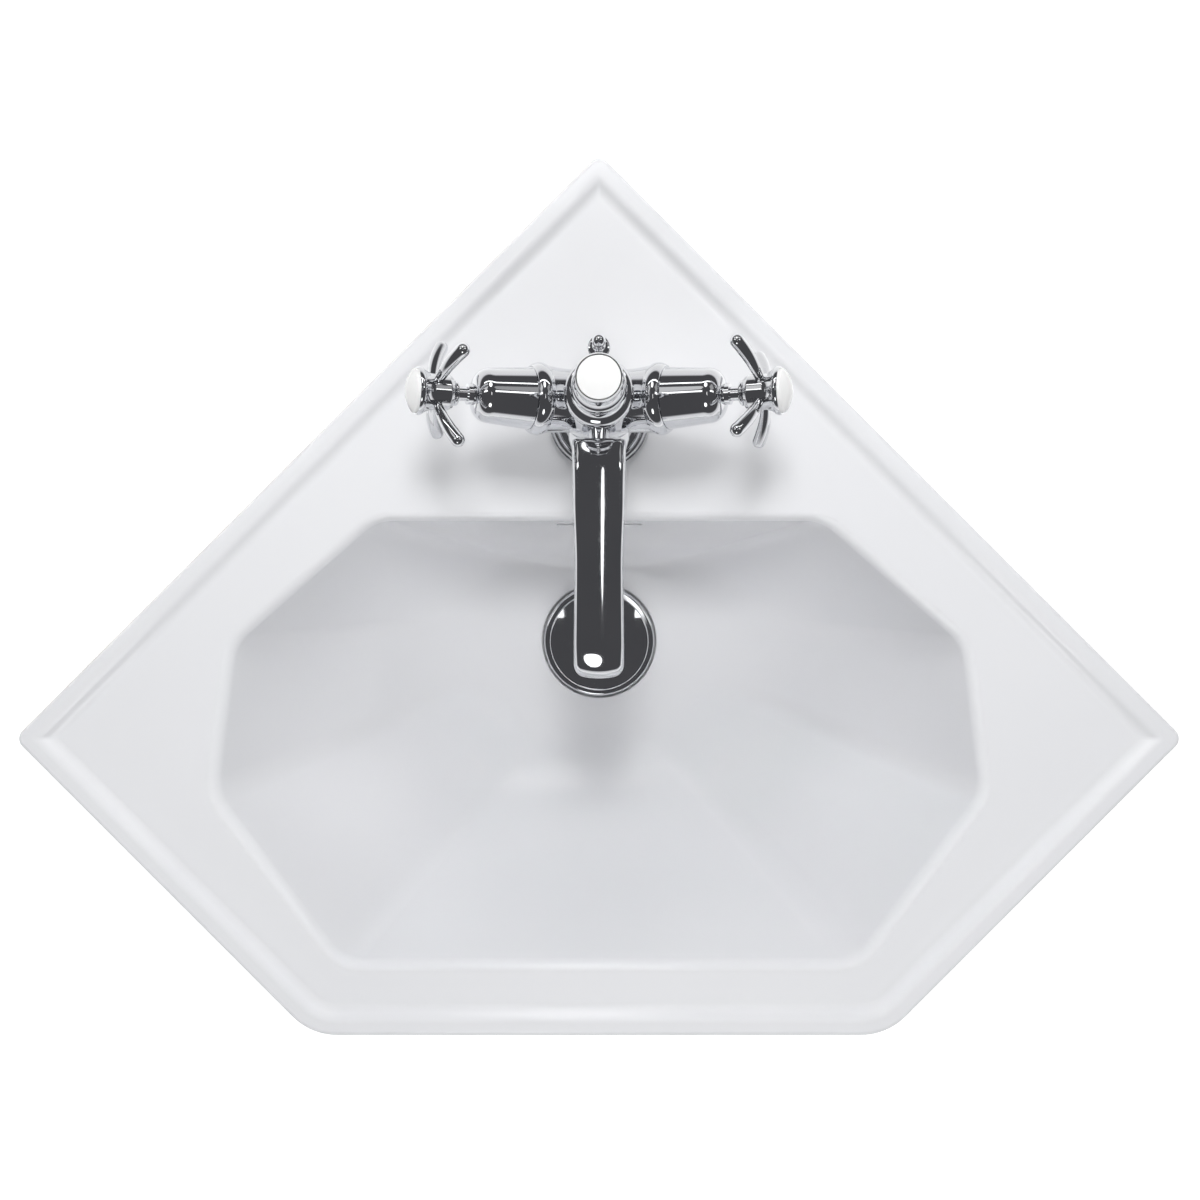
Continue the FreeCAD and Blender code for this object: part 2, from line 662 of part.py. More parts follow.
def top_cap():
    seat = CAP_TOP - INDEX_SEAT
    return turned([
        (0, BODY_TOP - CAP_SPIGOT_LENGTH), (CAP_SPIGOT_R, BODY_TOP - CAP_SPIGOT_LENGTH),
        (CAP_SPIGOT_R, BODY_TOP), (CAP_RING_R - 1.2, BODY_TOP),
        (CAP_RING_R - 2.4, BODY_TOP + 3, CAP_RING_R - 1.0, CAP_RING_Z - 1.8),
        (CAP_RING_R, CAP_RING_Z, CAP_RING_R - 1.0, CAP_RING_Z + 1.8),
        (CAP_NECK_R, CAP_RING_Z + 5, CAP_RIM_R - 0.3, CAP_TOP - 5),
        (CAP_RIM_R, CAP_TOP - 4.2), (CAP_RIM_R, CAP_TOP - 0.5), (CAP_RIM_R - 0.4, CAP_TOP),
        (INDEX_R + RUN_FIT, CAP_TOP), (INDEX_R + RUN_FIT, seat), (0, seat)])


def top_index_disc():
    seat = CAP_TOP - INDEX_SEAT
    edge = CAP_TOP
    return turned([(0, seat), (INDEX_R, seat), (INDEX_R, edge), dome(INDEX_R, edge, INDEX_DOME)])


def spout_section(y, width, top, bottom):
    half = width / 2
    points = [(-half, bottom), (half, bottom), (half, top), (-half, top)]
    low_r = min(half, (top - bottom) / 2) * 0.8
    loop = rounded_loop(points, [low_r, low_r, SPOUT_CORNER_R, SPOUT_CORNER_R], 0)
    return moved(turned_about(loop, X_AXIS, 90), V(0, y, 0))


def spout_plan():
    """Plan of the spout, which rounds off its nose."""
    half = SPOUT_ROOT_WIDTH
    nose = SPOUT_TIP_WIDTH / 2
    shoulder = -SPOUT_REACH + SPOUT_NOSE_R
    points = [V(-half, 0, 0), V(-half, shoulder, 0), V(-nose, shoulder, 0)]
    tip = Part.Arc(V(-nose, shoulder, 0), V(0, -SPOUT_REACH, 0), V(nose, shoulder, 0)).toShape()
    after = [V(nose, shoulder, 0), V(half, shoulder, 0), V(half, 0, 0), V(-half, 0, 0)]
    wire = Part.Wire([Part.makePolygon(points), tip, Part.makePolygon(after)])
    return Part.Face(wire).extrude(V(0, 0, SPOUT_TOP * 2))


def spout():
    sections = [
        spout_section(-COLUMN_R * 0.5, SPOUT_ROOT_WIDTH - 3, SPOUT_TOP - 1.5, SPOUT_BOTTOM - 3),
        spout_section(-COLUMN_R - 4, SPOUT_ROOT_WIDTH, SPOUT_TOP, SPOUT_BOTTOM - 1.5),
        spout_section(-SPOUT_REACH * 0.35, SPOUT_WAIST_WIDTH + 1.2, SPOUT_TOP, SPOUT_BOTTOM + 1),
        spout_section(-SPOUT_REACH * 0.6, SPOUT_WAIST_WIDTH, SPOUT_TOP - 0.4, SPOUT_BOTTOM + 1),
        spout_section(-OUTLET_REACH, SPOUT_TIP_WIDTH, SPOUT_TOP - 1.4, SPOUT_BOTTOM),
        spout_section(-SPOUT_REACH - 3, SPOUT_TIP_WIDTH, SPOUT_TOP - 4.5, SPOUT_BOTTOM - 1)]
    bar = loft(sections, False).common(spout_plan())
    nozzle = cylinder(NOZZLE_R, NOZZLE_END, SPOUT_BOTTOM + 6, 0, -OUTLET_REACH)
    body = joined([bar, nozzle])
    way = SPOUT_TOP - SPOUT_DEPTH / 2
    run = Part.makeCylinder(WATERWAY_R, OUTLET_REACH, V(0, 0, way), -Y_AXIS)
    drop = cylinder(WATERWAY_R, NOZZLE_END - 1, way, 0, -OUTLET_REACH)
    recess = cylinder(AERATOR_R, NOZZLE_END - 1, NOZZLE_END + AERATOR_DEPTH, 0, -OUTLET_REACH)
    body = body.cut(tap_body_solid()).cut(run).cut(drop).cut(recess)
    return max(body.Solids, key=lambda s: s.Volume)


def aerator_housing():
    r_in = AERATOR_R - AERATOR_WALL
    low = NOZZLE_END - AERATOR_DROP
    skirt = turned([(r_in - 0.8, low), (NOZZLE_R - 0.8, low), (NOZZLE_R - 0.3, low + 0.6),
                    (NOZZLE_R - 0.3, NOZZLE_END), (AERATOR_R - RUN_FIT, NOZZLE_END),
                    (AERATOR_R - RUN_FIT, NOZZLE_END + AERATOR_DEPTH - 0.5),
                    (r_in, NOZZLE_END + AERATOR_DEPTH - 0.5), (r_in, low + 0.8),
                    (r_in - 0.8, low + 0.8)])
    return moved(skirt, V(0, -OUTLET_REACH, 0))


def flow_straightener():
    """Plastic disc pierced by rings of small holes."""
    low = NOZZLE_END - AERATOR_DROP + 0.8
    disc = cylinder(AERATOR_R - AERATOR_WALL - RUN_FIT, low, low + STRAIGHTENER_T)
    holes = [cylinder(STRAIGHTENER_HOLE_R, low - 1, low + STRAIGHTENER_T + 1)]
    for k in range(1, STRAIGHTENER_RINGS + 1):
        pitch = STRAIGHTENER_PITCH * k
        for i in range(6 * k):
            turn = math.pi * i / (3 * k)
            holes.append(cylinder(STRAIGHTENER_HOLE_R, low - 1, low + STRAIGHTENER_T + 1,
                                  pitch * math.cos(turn), pitch * math.sin(turn)))
    return moved(disc.cut(Part.makeCompound(holes)), V(0, -OUTLET_REACH, 0))


# ---------- valves ----------

def valve_seal():
    seal = cylinder(SOCKET_R - FREE_GAP, SOCKET_FLOOR, FIXED_DISC_START)
    for offset in (PORT_OFFSET, -PORT_OFFSET):
        seal = seal.cut(cylinder(PORT_R, SOCKET_FLOOR - 1, FIXED_DISC_START + 1, offset))
    return seal


def fixed_disc():
    end = FIXED_DISC_START + FIXED_DISC_T
    disc = cylinder(DISC_R, FIXED_DISC_START, end)
    for offset in (PORT_OFFSET, -PORT_OFFSET):
        disc = disc.cut(cylinder(PORT_R, FIXED_DISC_START - 1, end + 1, offset))
    return disc


def moving_disc():
    """Butterfly disc that covers both ports when the valve is shut."""
    end = MOVING_DISC_START + MOVING_DISC_T
    disc = cylinder(DISC_R - FREE_GAP, MOVING_DISC_START, end)
    for side in (1, -1):
        notch = cylinder(PORT_R + 0.6, MOVING_DISC_START - 1, end - 0.9, 0, side * PORT_OFFSET * 1.3)
        disc = disc.cut(notch)
    return disc


def valve_body():
    bore = SPINDLE_R + RUN_FIT
    skirt_r = SOCKET_R - RUN_FIT
    hex_end = ARM_FACE + VALVE_HEX_T
    body = joined([cylinder(skirt_r, FIXED_DISC_START, ARM_FACE),
                   hexagon(VALVE_HEX, ARM_FACE, hex_end),
                   cylinder(VALVE_SHANK_R, hex_end, VALVE_SHANK_END),
                   cylinder(GLAND_R, VALVE_SHANK_END, GLAND_END)])
    body = body.cut(cylinder(DISC_R + RUN_FIT, FIXED_DISC_START - 1, VALVE_SHOULDER))
    return body.cut(cylinder(bore, FIXED_DISC_START, GLAND_END + 1))


def spindle():
    screw_start = SPINDLE_END + HUB_WEB_T - SCREW_LENGTH
    shaft = joined([cylinder(DISC_R - FREE_GAP * 2, SPINDLE_START, SPINDLE_START + SPINDLE_FLANGE_T),
                    cylinder(SPINDLE_R, SPINDLE_START, SPINDLE_END)])
    return shaft.cut(cylinder(SCREW_R, screw_start, SPINDLE_END + 1))


def shroud():
    dome = SHROUD_END - SHROUD_DOME
    inner_root = SHROUD_ROOT_R - SHROUD_T
    inner_end = SHROUD_END_R - SHROUD_T
    hole = GLAND_R + RUN_FIT
    bump = SHROUD_DOME * (1 - math.cos(math.pi / 4))
    grip = VALVE_SHANK_END - 5
    shell = turned([
        (inner_root, ARM_END), (SHROUD_ROOT_R, ARM_END), (SHROUD_END_R, dome),
        (SHROUD_END_R - bump, SHROUD_END - bump, SHROUD_END_R - SHROUD_DOME, SHROUD_END),
        (hole, SHROUD_END), (hole, SHROUD_END - SHROUD_T),
        (SHROUD_END_R - SHROUD_DOME, SHROUD_END - SHROUD_T),
        (inner_end - bump, SHROUD_END - SHROUD_T - bump, inner_end, dome - SHROUD_T)])
    sleeve = ring(VALVE_SHANK_R + RUN_FIT, inner_end + SHROUD_T / 2, grip - 3, grip)
    return joined([shell, sleeve])


# ---------- handles ----------

def handle_arm():
    """One drop-shaped arm, from the hub out and back towards the body."""
    inner = HUB_R / 2
    path = []
    for share, swell in ((0, 0), (0.3, 0.08), (0.58, 0.4), (0.86, 0.88), (1, 1)):
        bow = 4 * HANDLE_BOW * share * (1 - share)
        path.append((inner + (HANDLE_REACH - inner) * share,
                     HANDLE_ROOT + (HANDLE_TIP - HANDLE_ROOT) * share + bow,
                     ROOT_R + (TIP_R - ROOT_R) * swell))
    wires = []
    for i, (r, z, radius) in enumerate(path):
        before = path[max(i - 1, 0)]
        after = path[min(i + 1, len(path) - 1)]
        lean = math.degrees(math.atan2(after[0] - before[0], after[1] - before[1]))
        circle = Part.Wire(Part.makeCircle(radius))
        wires.append(moved(turned_about(circle, Y_AXIS, lean), V(r, 0, z)))
    return joined([loft(wires, False), Part.makeSphere(TIP_R * 1.06, V(HANDLE_REACH, 0, HANDLE_TIP))])


def handle_hub():
    web = SPINDLE_END
    hub = turned([
        (0, HUB_START), (HUB_COLLAR_R, HUB_START),
        (HUB_COLLAR_R + 1, HUB_START + 0.9, HUB_COLLAR_R, HUB_START + 1.8),
        (HUB_R - 0.8, HUB_START + 2.6), (HUB_R - 0.1, HUB_START + 4.2), (HUB_R, HUB_END - 5),
        (HUB_R + 0.8, HUB_END - 2.2, HUB_FLARE_R, HUB_END), (0, HUB_END)])
    hub = hub.cut(cylinder(SPINDLE_R + RUN_FIT, HUB_START - 1, web))
    hub = hub.cut(cylinder(SCREW_R + RUN_FIT, web - 1, HUB_END))
    return hub.cut(cylinder(HUB_SOCKET_R, web + HUB_WEB_T, HUB_END + 1))


def handle(roll):
    """Cross handle: hub and arms, set as a diagonal cross plus its own turn."""
    hub = handle_hub()
    hollow = cylinder(HUB_SOCKET_R, SPINDLE_END + HUB_WEB_T, HUB_END + 1)
    pieces = []
    for i in range(ARM_COUNT):
        turn = 360 / ARM_COUNT * (i + 0.5) + roll
        pieces.append(turned_about(handle_arm().cut(hollow), Z_AXIS, turn))
    return joined([hub] + pieces)


def handle_screw():
    head = SPINDLE_END + HUB_WEB_T
    screw = joined([cylinder(SCREW_R, head - SCREW_LENGTH, head),
                    cylinder(SCREW_HEAD_R, head, head + SCREW_HEAD_T)])
    slot = block(-SCREW_HEAD_R, SCREW_HEAD_R, -0.5, 0.5, head + SCREW_HEAD_T - 1, head + SCREW_HEAD_T + 1)
    return screw.cut(slot)


def handle_bezel():
    spigot = HUB_END - 3.6
    top = HUB_END + BEZEL_T
    seat = HUB_END + BEZEL_T / 2
    bore = HUB_SOCKET_R - 1.6
    return turned([
        (bore, spigot), (HUB_SOCKET_R - RUN_FIT, spigot), (HUB_SOCKET_R - RUN_FIT, HUB_END),
        (BEZEL_R - 0.4, HUB_END), (BEZEL_R, HUB_END + BEZEL_T / 2, BEZEL_R - 0.3, top),
        (INDEX_DISC_R + RUN_FIT, top), (INDEX_DISC_R + RUN_FIT, seat), (bore, seat)])


def handle_index_disc():
    seat = HUB_END + BEZEL_T / 2
    edge = seat + INDEX_EDGE
    return turned([(0, seat), (INDEX_DISC_R, seat), (INDEX_DISC_R, edge),
                   dome(INDEX_DISC_R, edge, INDEX_CROWN)])


# ---------- lift rod and fixing ----------

def lift_rod():
    return cylinder(ROD_R, -ROD_END, KNOB_BALL_Z - KNOB_BALL_R - KNOB_SOCKET / 2, 0, ROD_BACK)


def lift_knob():
    base = ROD_BOSS_TOP + FREE_GAP
    rod_top = KNOB_BALL_Z - KNOB_BALL_R - KNOB_SOCKET / 2
    neck = KNOB_BALL_Z - KNOB_BALL_R * 0.8
    low_r = KNOB_BALL_R * 0.6
    knob = turned([
        (0, base), (KNOB_COLLAR_R - 0.5, base),
        (KNOB_COLLAR_R, base + 1.1, KNOB_COLLAR_R - 0.5, base + 2.2),
        (KNOB_NECK_R + 0.6, base + 3.4, KNOB_NECK_R, (base + neck) / 2 + 1), (low_r, neck),
        (KNOB_BALL_R, KNOB_BALL_Z, 0, KNOB_BALL_Z + KNOB_BALL_R)])
    return moved(knob, V(0, ROD_BACK, 0)).cut(cylinder(ROD_R, base - 1, rod_top, 0, ROD_BACK))


def base_seal():
    return ring(TAP_HOLE_R + 0.1, FLANGE_R - 0.5, 0, SEAL_T)


def fixing_stud():
    nut_low = -DECK_T - 2 * CLAMP_T - NUT_T
    return cylinder(STUD_R, nut_low - STUD_TAIL, SEAL_T + STUD_IN_BODY, 0, -STUD_FORWARD)


def clamp_plate(top):
    """Horseshoe that leaves room for the hoses and the lift rod."""
    plate = cylinder(CLAMP_R, top - CLAMP_T, top)
    front = -STUD_FORWARD + CLAMP_BACK
    corners = [(-CLAMP_SLOT, front), (CLAMP_SLOT, front),
               (CLAMP_SLOT, CLAMP_R * 2), (-CLAMP_SLOT, CLAMP_R * 2)]
    loop = rounded_loop(corners, [CLAMP_CORNER_R] * 4, top - CLAMP_T - 1)
    gap = Part.Face(loop).extrude(V(0, 0, CLAMP_T + 2))
    return plate.cut(gap).cut(cylinder(STUD_R, top - CLAMP_T - 1, top + 1, 0, -STUD_FORWARD))


def fixing_nut():
    top = -DECK_T - 2 * CLAMP_T
    nut = hexagon(NUT_AF, top - NUT_T, top, 0, -STUD_FORWARD)
    return nut.cut(cylinder(STUD_R, top - NUT_T - 1, top + 1, 0, -STUD_FORWARD))


# ---------- waste ----------

def on_waste(shape):
    return moved(shape, WASTE_ORIGIN)


def waste_body():
    bore = WASTE_R - WASTE_WALL
    dish = WASTE_R + 1.0
    tube = turned([
        (bore, -WASTE_TUBE), (WASTE_R, -WASTE_TUBE), (WASTE_R, WASTE_SEAL_T),
        (WASTE_FLANGE_R, WASTE_SEAL_T), (WASTE_FLANGE_R, WASTE_SEAL_T + 0.8),
        (WASTE_FLANGE_R - 1, FLANGE_TOP - 0.4, WASTE_FLANGE_R - 2.6, FLANGE_TOP),
        (dish, FLANGE_TOP), (bore, FLANGE_TOP - (dish - bore))])
    half = WASTE_SLOT_WIDTH / 2
    low = -WASTE_SLOT_TOP - WASTE_SLOT_HEIGHT
    slot = block(-half, half, -WASTE_R - 1, WASTE_R + 1, low, -WASTE_SLOT_TOP)
    return tube.cut(slot)


def waste_top_seal():
    return ring(WASTE_HOLE_R + 0.2, WASTE_FLANGE_R - 1.5, 0, WASTE_SEAL_T)


def waste_washer():
    top = -WASTE_BOSS_T
    return ring(WASTE_R, WASHER_R, top - WASHER_T, top)


def waste_back_nut():
    top = -WASTE_BOSS_T - WASHER_T
    nut = hexagon(BACK_NUT_AF, top - BACK_NUT_T, top)
    return nut.cut(cylinder(WASTE_R, top - BACK_NUT_T - 1, top + 1))


def waste_tee():
    bore = WASTE_R - WASTE_WALL
    shoulder = -WASTE_TUBE - TEE_SEAL_T
    boss_end = PIVOT_BACK + BALL_R
    outside = joined([
        turned([(0, -TAIL_END), (WASTE_R, -TAIL_END), (WASTE_R, -TEE_FOOT), (TEE_R - 2, -TEE_FOOT),
                (TEE_R - 2, shoulder - 2), (TEE_R, shoulder), (TEE_R, -TEE_TOP), (0, -TEE_TOP)]),
        Part.makeCylinder(PIVOT_BOSS_R, boss_end, V(0, 0, -PIVOT_DROP), Y_AXIS)])
    seat_end = PIVOT_BACK - BALL_R
    outside = outside.cut(cylinder(bore, -TAIL_END - 1, 0))
    outside = outside.cut(cylinder(WASTE_R, shoulder, 0))
    outside = outside.cut(Part.makeCylinder(PIVOT_LIP_R, boss_end, V(0, 1, -PIVOT_DROP), Y_AXIS))
    return outside.cut(Part.makeCylinder(PIVOT_BORE_R, boss_end, V(0, seat_end, -PIVOT_DROP), Y_AXIS))


def tee_seal():
    return ring(WASTE_R - WASTE_WALL + 0.3, WASTE_R - 0.1, -WASTE_TUBE - TEE_SEAL_T, -WASTE_TUBE)


def pivot_ring(y0, y1):
    """Nylon ring that cups one side of the ball."""
    body = Part.makeCylinder(PIVOT_BORE_R - RUN_FIT, y1 - y0, V(0, y0, -PIVOT_DROP), Y_AXIS)
    body = body.cut(Part.makeSphere(BALL_R + BALL_FIT, V(0, PIVOT_BACK, -PIVOT_DROP)))
    return body.cut(Part.makeCylinder(PIVOT_LIP_R, 60, V(0, 0, -PIVOT_DROP), Y_AXIS))


def pivot_seat():
    return pivot_ring(PIVOT_BACK - BALL_R, PIVOT_BACK)


def pivot_packing():
    return pivot_ring(PIVOT_BACK, PIVOT_BACK + BALL_R + FREE_GAP)


def pivot_nut():
    inner_end = PIVOT_BACK + BALL_R + FREE_GAP
    start = PIVOT_BACK - 2
    nut = hexagon(PIVOT_NUT_AF, start, inner_end + PIVOT_NUT_WALL)
    nut = nut.cut(cylinder(PIVOT_BOSS_R, start - 1, inner_end))
    nut = nut.cut(cylinder(PIVOT_LIP_R, start, inner_end + 10))
    return moved(turned_about(nut, X_AXIS, -90), V(0, 0, -PIVOT_DROP))


# ---------- lever, plug and strap ----------

def along_lever(shape):
    """Places a piece made along +Y from the pivot, tilted as it stands open."""
    tilted = turned_about(shape, X_AXIS, -LEVER_TILT)
    return moved(tilted, V(0, PIVOT_BACK, -PIVOT_DROP))


def lever_reach(level_distance):
    return level_distance / math.cos(math.radians(LEVER_TILT))


def lever_rod():
    inner = lever_reach(PIVOT_BACK + LEVER_PAST_PLUG)
    outer = lever_reach(OUTER_ARM + LEVER_PAST_STRAP)
    return along_lever(Part.makeCylinder(LEVER_R, inner + outer, V(0, -inner, 0), Y_AXIS))


def pivot_ball():
    ball = Part.makeSphere(BALL_R).cut(Part.makeCylinder(LEVER_R, 40, V(0, -20, 0), Y_AXIS))
    return along_lever(ball)


def lever_clips():
    """Two clips that keep the lever in the strap."""
    at = lever_reach(OUTER_ARM)
    half = STRAP_T / 2 + CLIP_GAP
    clips = []
    for y in (at - half - CLIP_T, at + half):
        clip = Part.makeCylinder(CLIP_R, CLIP_T, V(0, y, 0), Y_AXIS)
        clips.append(clip.cut(Part.makeCylinder(LEVER_R, CLIP_T, V(0, y, 0), Y_AXIS)))
    return Part.makeCompound([along_lever(clip) for clip in clips])


def plug_cap():
    base = PLUG_BASE
    edge = base + PLUG_T
    return turned([(0, base), (PLUG_R - 0.6, base), (PLUG_R, base + 0.6), (PLUG_R, edge - 0.4),
                   (PLUG_R - 0.5, edge), dome(PLUG_R - 0.5, edge, PLUG_CROWN)])


def plug_seal():
    return ring(STEM_R, PLUG_SEAL_R, PLUG_BASE - PLUG_SEAL_T, PLUG_BASE)


def plug_stem():
    tongue_top = EYE_Z + TONGUE_BELOW
    fin_r = WASTE_R - WASTE_WALL - FREE_GAP
    fin_top = -FIN_TOP
    fins = []
    for i in range(FIN_COUNT):
        fin = block(0, fin_r, -FIN_T / 2, FIN_T / 2, fin_top - FIN_LENGTH, fin_top)
        fins.append(turned_about(fin, Z_AXIS, 360 / FIN_COUNT * i + 30))
    tongue = block(-TONGUE_WIDTH / 2, TONGUE_WIDTH / 2, -TONGUE_T / 2, TONGUE_T / 2,
                   EYE_Z - TONGUE_BELOW, tongue_top)
    stem = joined([cylinder(STEM_R, tongue_top - 1, PLUG_BASE), tongue] + fins)
    return stem.cut(Part.makeCylinder(LEVER_R + EYE_FIT, 40, V(0, -20, EYE_Z), Y_AXIS))


def clevis_strap():
    """Flat strap with a clamping block for the rod and a row of holes."""
    rod_y = ROD_BACK - TAP_BACK
    lever_z = SEAT_Z - PIVOT_DROP - OUTER_ARM * LEVER_SLOPE
    face = rod_y - ROD_R
    low = lever_z - STRAP_BELOW
    half = STRAP_WIDTH / 2
    strap = block(-half, half, face - STRAP_T, face, low, -STRAP_TOP)
    half_block = CLAMP_BLOCK / 2
    grip = block(-half_block, half_block, face, rod_y + ROD_R + STRAP_T,
                 -STRAP_TOP - CLAMP_BLOCK, -STRAP_TOP)
    grip = grip.cut(cylinder(ROD_R + RUN_FIT, -STRAP_TOP - CLAMP_BLOCK - 1, -STRAP_TOP + 1, 0, rod_y))
    body = joined([strap, grip])
    pitch = 4 * LEVER_R
    for i in range(4):
        hole = Part.makeCylinder(LEVER_R + STRAP_FIT, 3 * STRAP_T,
                                 V(0, face - 2 * STRAP_T, lever_z + i * pitch), Y_AXIS)
        body = body.cut(hole)
    screw = Part.makeCylinder(SCREW_R, 20, V(0, face - 20, -STRAP_TOP - half_block), Y_AXIS)
    return body.cut(screw)


def clevis_screw():
    face = ROD_BACK - TAP_BACK - ROD_R
    z = -STRAP_TOP - CLAMP_BLOCK / 2
    head = Part.makeCylinder(THUMB_R, THUMB_T, V(0, face - STRAP_T - THUMB_T, z), Y_AXIS)
    shank = Part.makeCylinder(SCREW_R, STRAP_T, V(0, face - STRAP_T, z), Y_AXIS)
    return joined([head, shank])


# ---------- write the pieces ----------

def save(name, shape):
    shape.exportStep("parts/" + name + ".step")


def main():
    os.makedirs("parts", exist_ok=True)
    for name, shape in basin_pieces().items():
        save(name, shape)
    on_tap_pieces = {
        "tap_body": tap_body, "base_flange": base_flange, "base_seal": base_seal,
        "top_cap": top_cap, "top_index_disc": top_index_disc, "spout": spout,
        "aerator_housing": aerator_housing, "flow_straightener": flow_straightener,
        "lift_rod": lift_rod, "lift_knob": lift_knob, "fixing_stud": fixing_stud,
        "fixing_nut": fixing_nut}
    for name, make in on_tap_pieces.items():
        save(name, on_tap(make()))
    save("clamp_rubber", on_tap(clamp_plate(-DECK_T)))
    save("clamp_plate", on_tap(clamp_plate(-DECK_T - CLAMP_T)))
    arm_pieces = {
        "valve_seal": valve_seal, "fixed_disc": fixed_disc, "moving_disc": moving_disc,
        "valve_body": valve_body, "spindle": spindle, "shroud": shroud,
        "handle_screw": handle_screw, "handle_bezel": handle_bezel,
        "index_disc": handle_index_disc}
    for water, side, roll in (("hot", -1, HOT_ROLL), ("cold", 1, COLD_ROLL)):
        for name, make in arm_pieces.items():
            save(water + "_" + name, along_arm(make(), side))
        save(water + "_handle", along_arm(handle(roll), side))
    waste_pieces = {
        "waste_body": waste_body, "waste_top_seal": waste_top_seal, "waste_washer": waste_washer,
        "waste_back_nut": waste_back_nut, "waste_tee": waste_tee, "tee_seal": tee_seal,
        "pivot_seat": pivot_seat, "pivot_packing": pivot_packing, "pivot_nut": pivot_nut,
        "lever_rod": lever_rod, "pivot_ball": pivot_ball, "lever_clips": lever_clips,
        "plug_cap": plug_cap, "plug_seal": plug_seal, "plug_stem": plug_stem}
    for name, make in waste_pieces.items():
        save(name, on_waste(make()))
    save("clevis_strap", clevis_strap())
    save("clevis_screw", clevis_screw())


main()
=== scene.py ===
import json
import math

import bmesh
import bpy
from mathutils import Matrix, Vector

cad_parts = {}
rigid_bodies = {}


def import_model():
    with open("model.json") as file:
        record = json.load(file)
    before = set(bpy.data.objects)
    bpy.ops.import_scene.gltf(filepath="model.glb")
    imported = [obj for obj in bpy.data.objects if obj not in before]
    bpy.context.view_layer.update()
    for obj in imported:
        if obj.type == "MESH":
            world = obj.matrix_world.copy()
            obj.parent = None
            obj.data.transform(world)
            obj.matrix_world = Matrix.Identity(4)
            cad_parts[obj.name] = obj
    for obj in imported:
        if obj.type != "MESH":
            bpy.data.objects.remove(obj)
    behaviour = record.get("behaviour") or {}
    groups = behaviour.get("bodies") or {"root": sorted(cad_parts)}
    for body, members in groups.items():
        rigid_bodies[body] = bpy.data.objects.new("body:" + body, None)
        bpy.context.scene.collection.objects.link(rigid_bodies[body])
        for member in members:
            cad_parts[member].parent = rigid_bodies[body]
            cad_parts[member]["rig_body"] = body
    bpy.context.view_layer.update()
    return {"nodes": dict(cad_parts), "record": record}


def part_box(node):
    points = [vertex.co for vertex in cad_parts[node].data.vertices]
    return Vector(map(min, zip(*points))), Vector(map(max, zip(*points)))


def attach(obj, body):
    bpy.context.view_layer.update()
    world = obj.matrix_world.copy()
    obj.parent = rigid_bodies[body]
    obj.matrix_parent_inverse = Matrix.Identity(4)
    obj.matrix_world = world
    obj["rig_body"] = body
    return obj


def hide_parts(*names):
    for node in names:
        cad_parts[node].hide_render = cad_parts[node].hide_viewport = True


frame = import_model()
NODES = frame["nodes"]
SLOT_OF = {part["node"]: part["material_slot"] for part in frame["record"]["subparts"]}

# All sizes are in millimetres until a mesh is made from them.
MM = 0.001
Y_AXIS = Vector((0, 1, 0))
Z_AXIS = Vector((0, 0, 1))

# Basin, heights from the top of its lip
WIDTH = 595.0
FRONT_EDGE = 293.0
WALL_CORNER_R = 6.0
FRONT_CORNER_R = 33.0
CHINA_T = 12.0
LIP_WIDTH = 8.8
LIP_SLOPE = 4.4
LIP_STEP = 3.5
DECK_T = 14.0
APRON_HEIGHT = 62.0
APRON_LEAN = 5.0
WALL_SIDE_HEIGHT = 165.0
WALL_SIDE_LOW = 210.0
WALL_SIDE_END = 414.7
BOWL_RIM = [(115.0, -186.2), (187.5, -250.0), (196.6, -326.0), (132.0, -412.0)]
BOWL_CORNER_R = 22.0
BOWL_DEPTH = 123.5
BOWL_CURVE = 3.0
RIM_TANGENT = 4.4
FLOOR_HALF = 42.0
FLOOR_CORNER_R = 14.0
WASTE_BACK = 252.0
WASTE_HOLE_R = 23.0
SEAT_R = 35.0
SEAT_DEPTH = 3.0
WASTE_BOSS_R = 36.0
WASTE_BOSS_T = 38.0
OVERFLOW_WIDTH = 45.0
OVERFLOW_SLOT = 7.0
OVERFLOW_DROP = 13.0
MOUTH_SPAN = (-202.0, -170.2)
DUCT_FRONT = -177.8
DUCT_BACK = -169.8
COVER_BACK = -162.6
TAP_HOLE_R = 19.5
WALL_BOLT_R = 8.0
WALL_BOLT_ALONG = 118.0
WALL_BOLT_DROP = 110.0
SEAT_Z = -(LIP_STEP + BOWL_DEPTH + SEAT_DEPTH)
WASTE_CENTRE = Vector((0, -WASTE_BACK))

# Mixer, heights above the deck
TAP_ORIGIN = Vector((0, -135.8, -LIP_STEP))
ARM_TILT = 22.0
ARM_Z = 54.1
HANDLE_REACH = 26.8
HANDLE_TIP = 71.0
HANDLE_ROOT = 77.6
HANDLE_BOW = 1.3
HUB_R = 7.9
ROOT_R = 1.6
TIP_R = 3.1
HANDLE_ARMS = 4
ARM_STATIONS = 28
ARM_ROUND = 28
ROLLS = {"hot": -12.5, "cold": 0.0}
SIDES = {"hot": -1, "cold": 1}
SPOUT_TOP = 75.5
SPOUT_BOTTOM = 58.0
SPOUT_REACH = 126.0
OUTLET_REACH = 114.0
ROD_BACK = 17.2


# ---------- shapes: (points, faces) pairs ----------

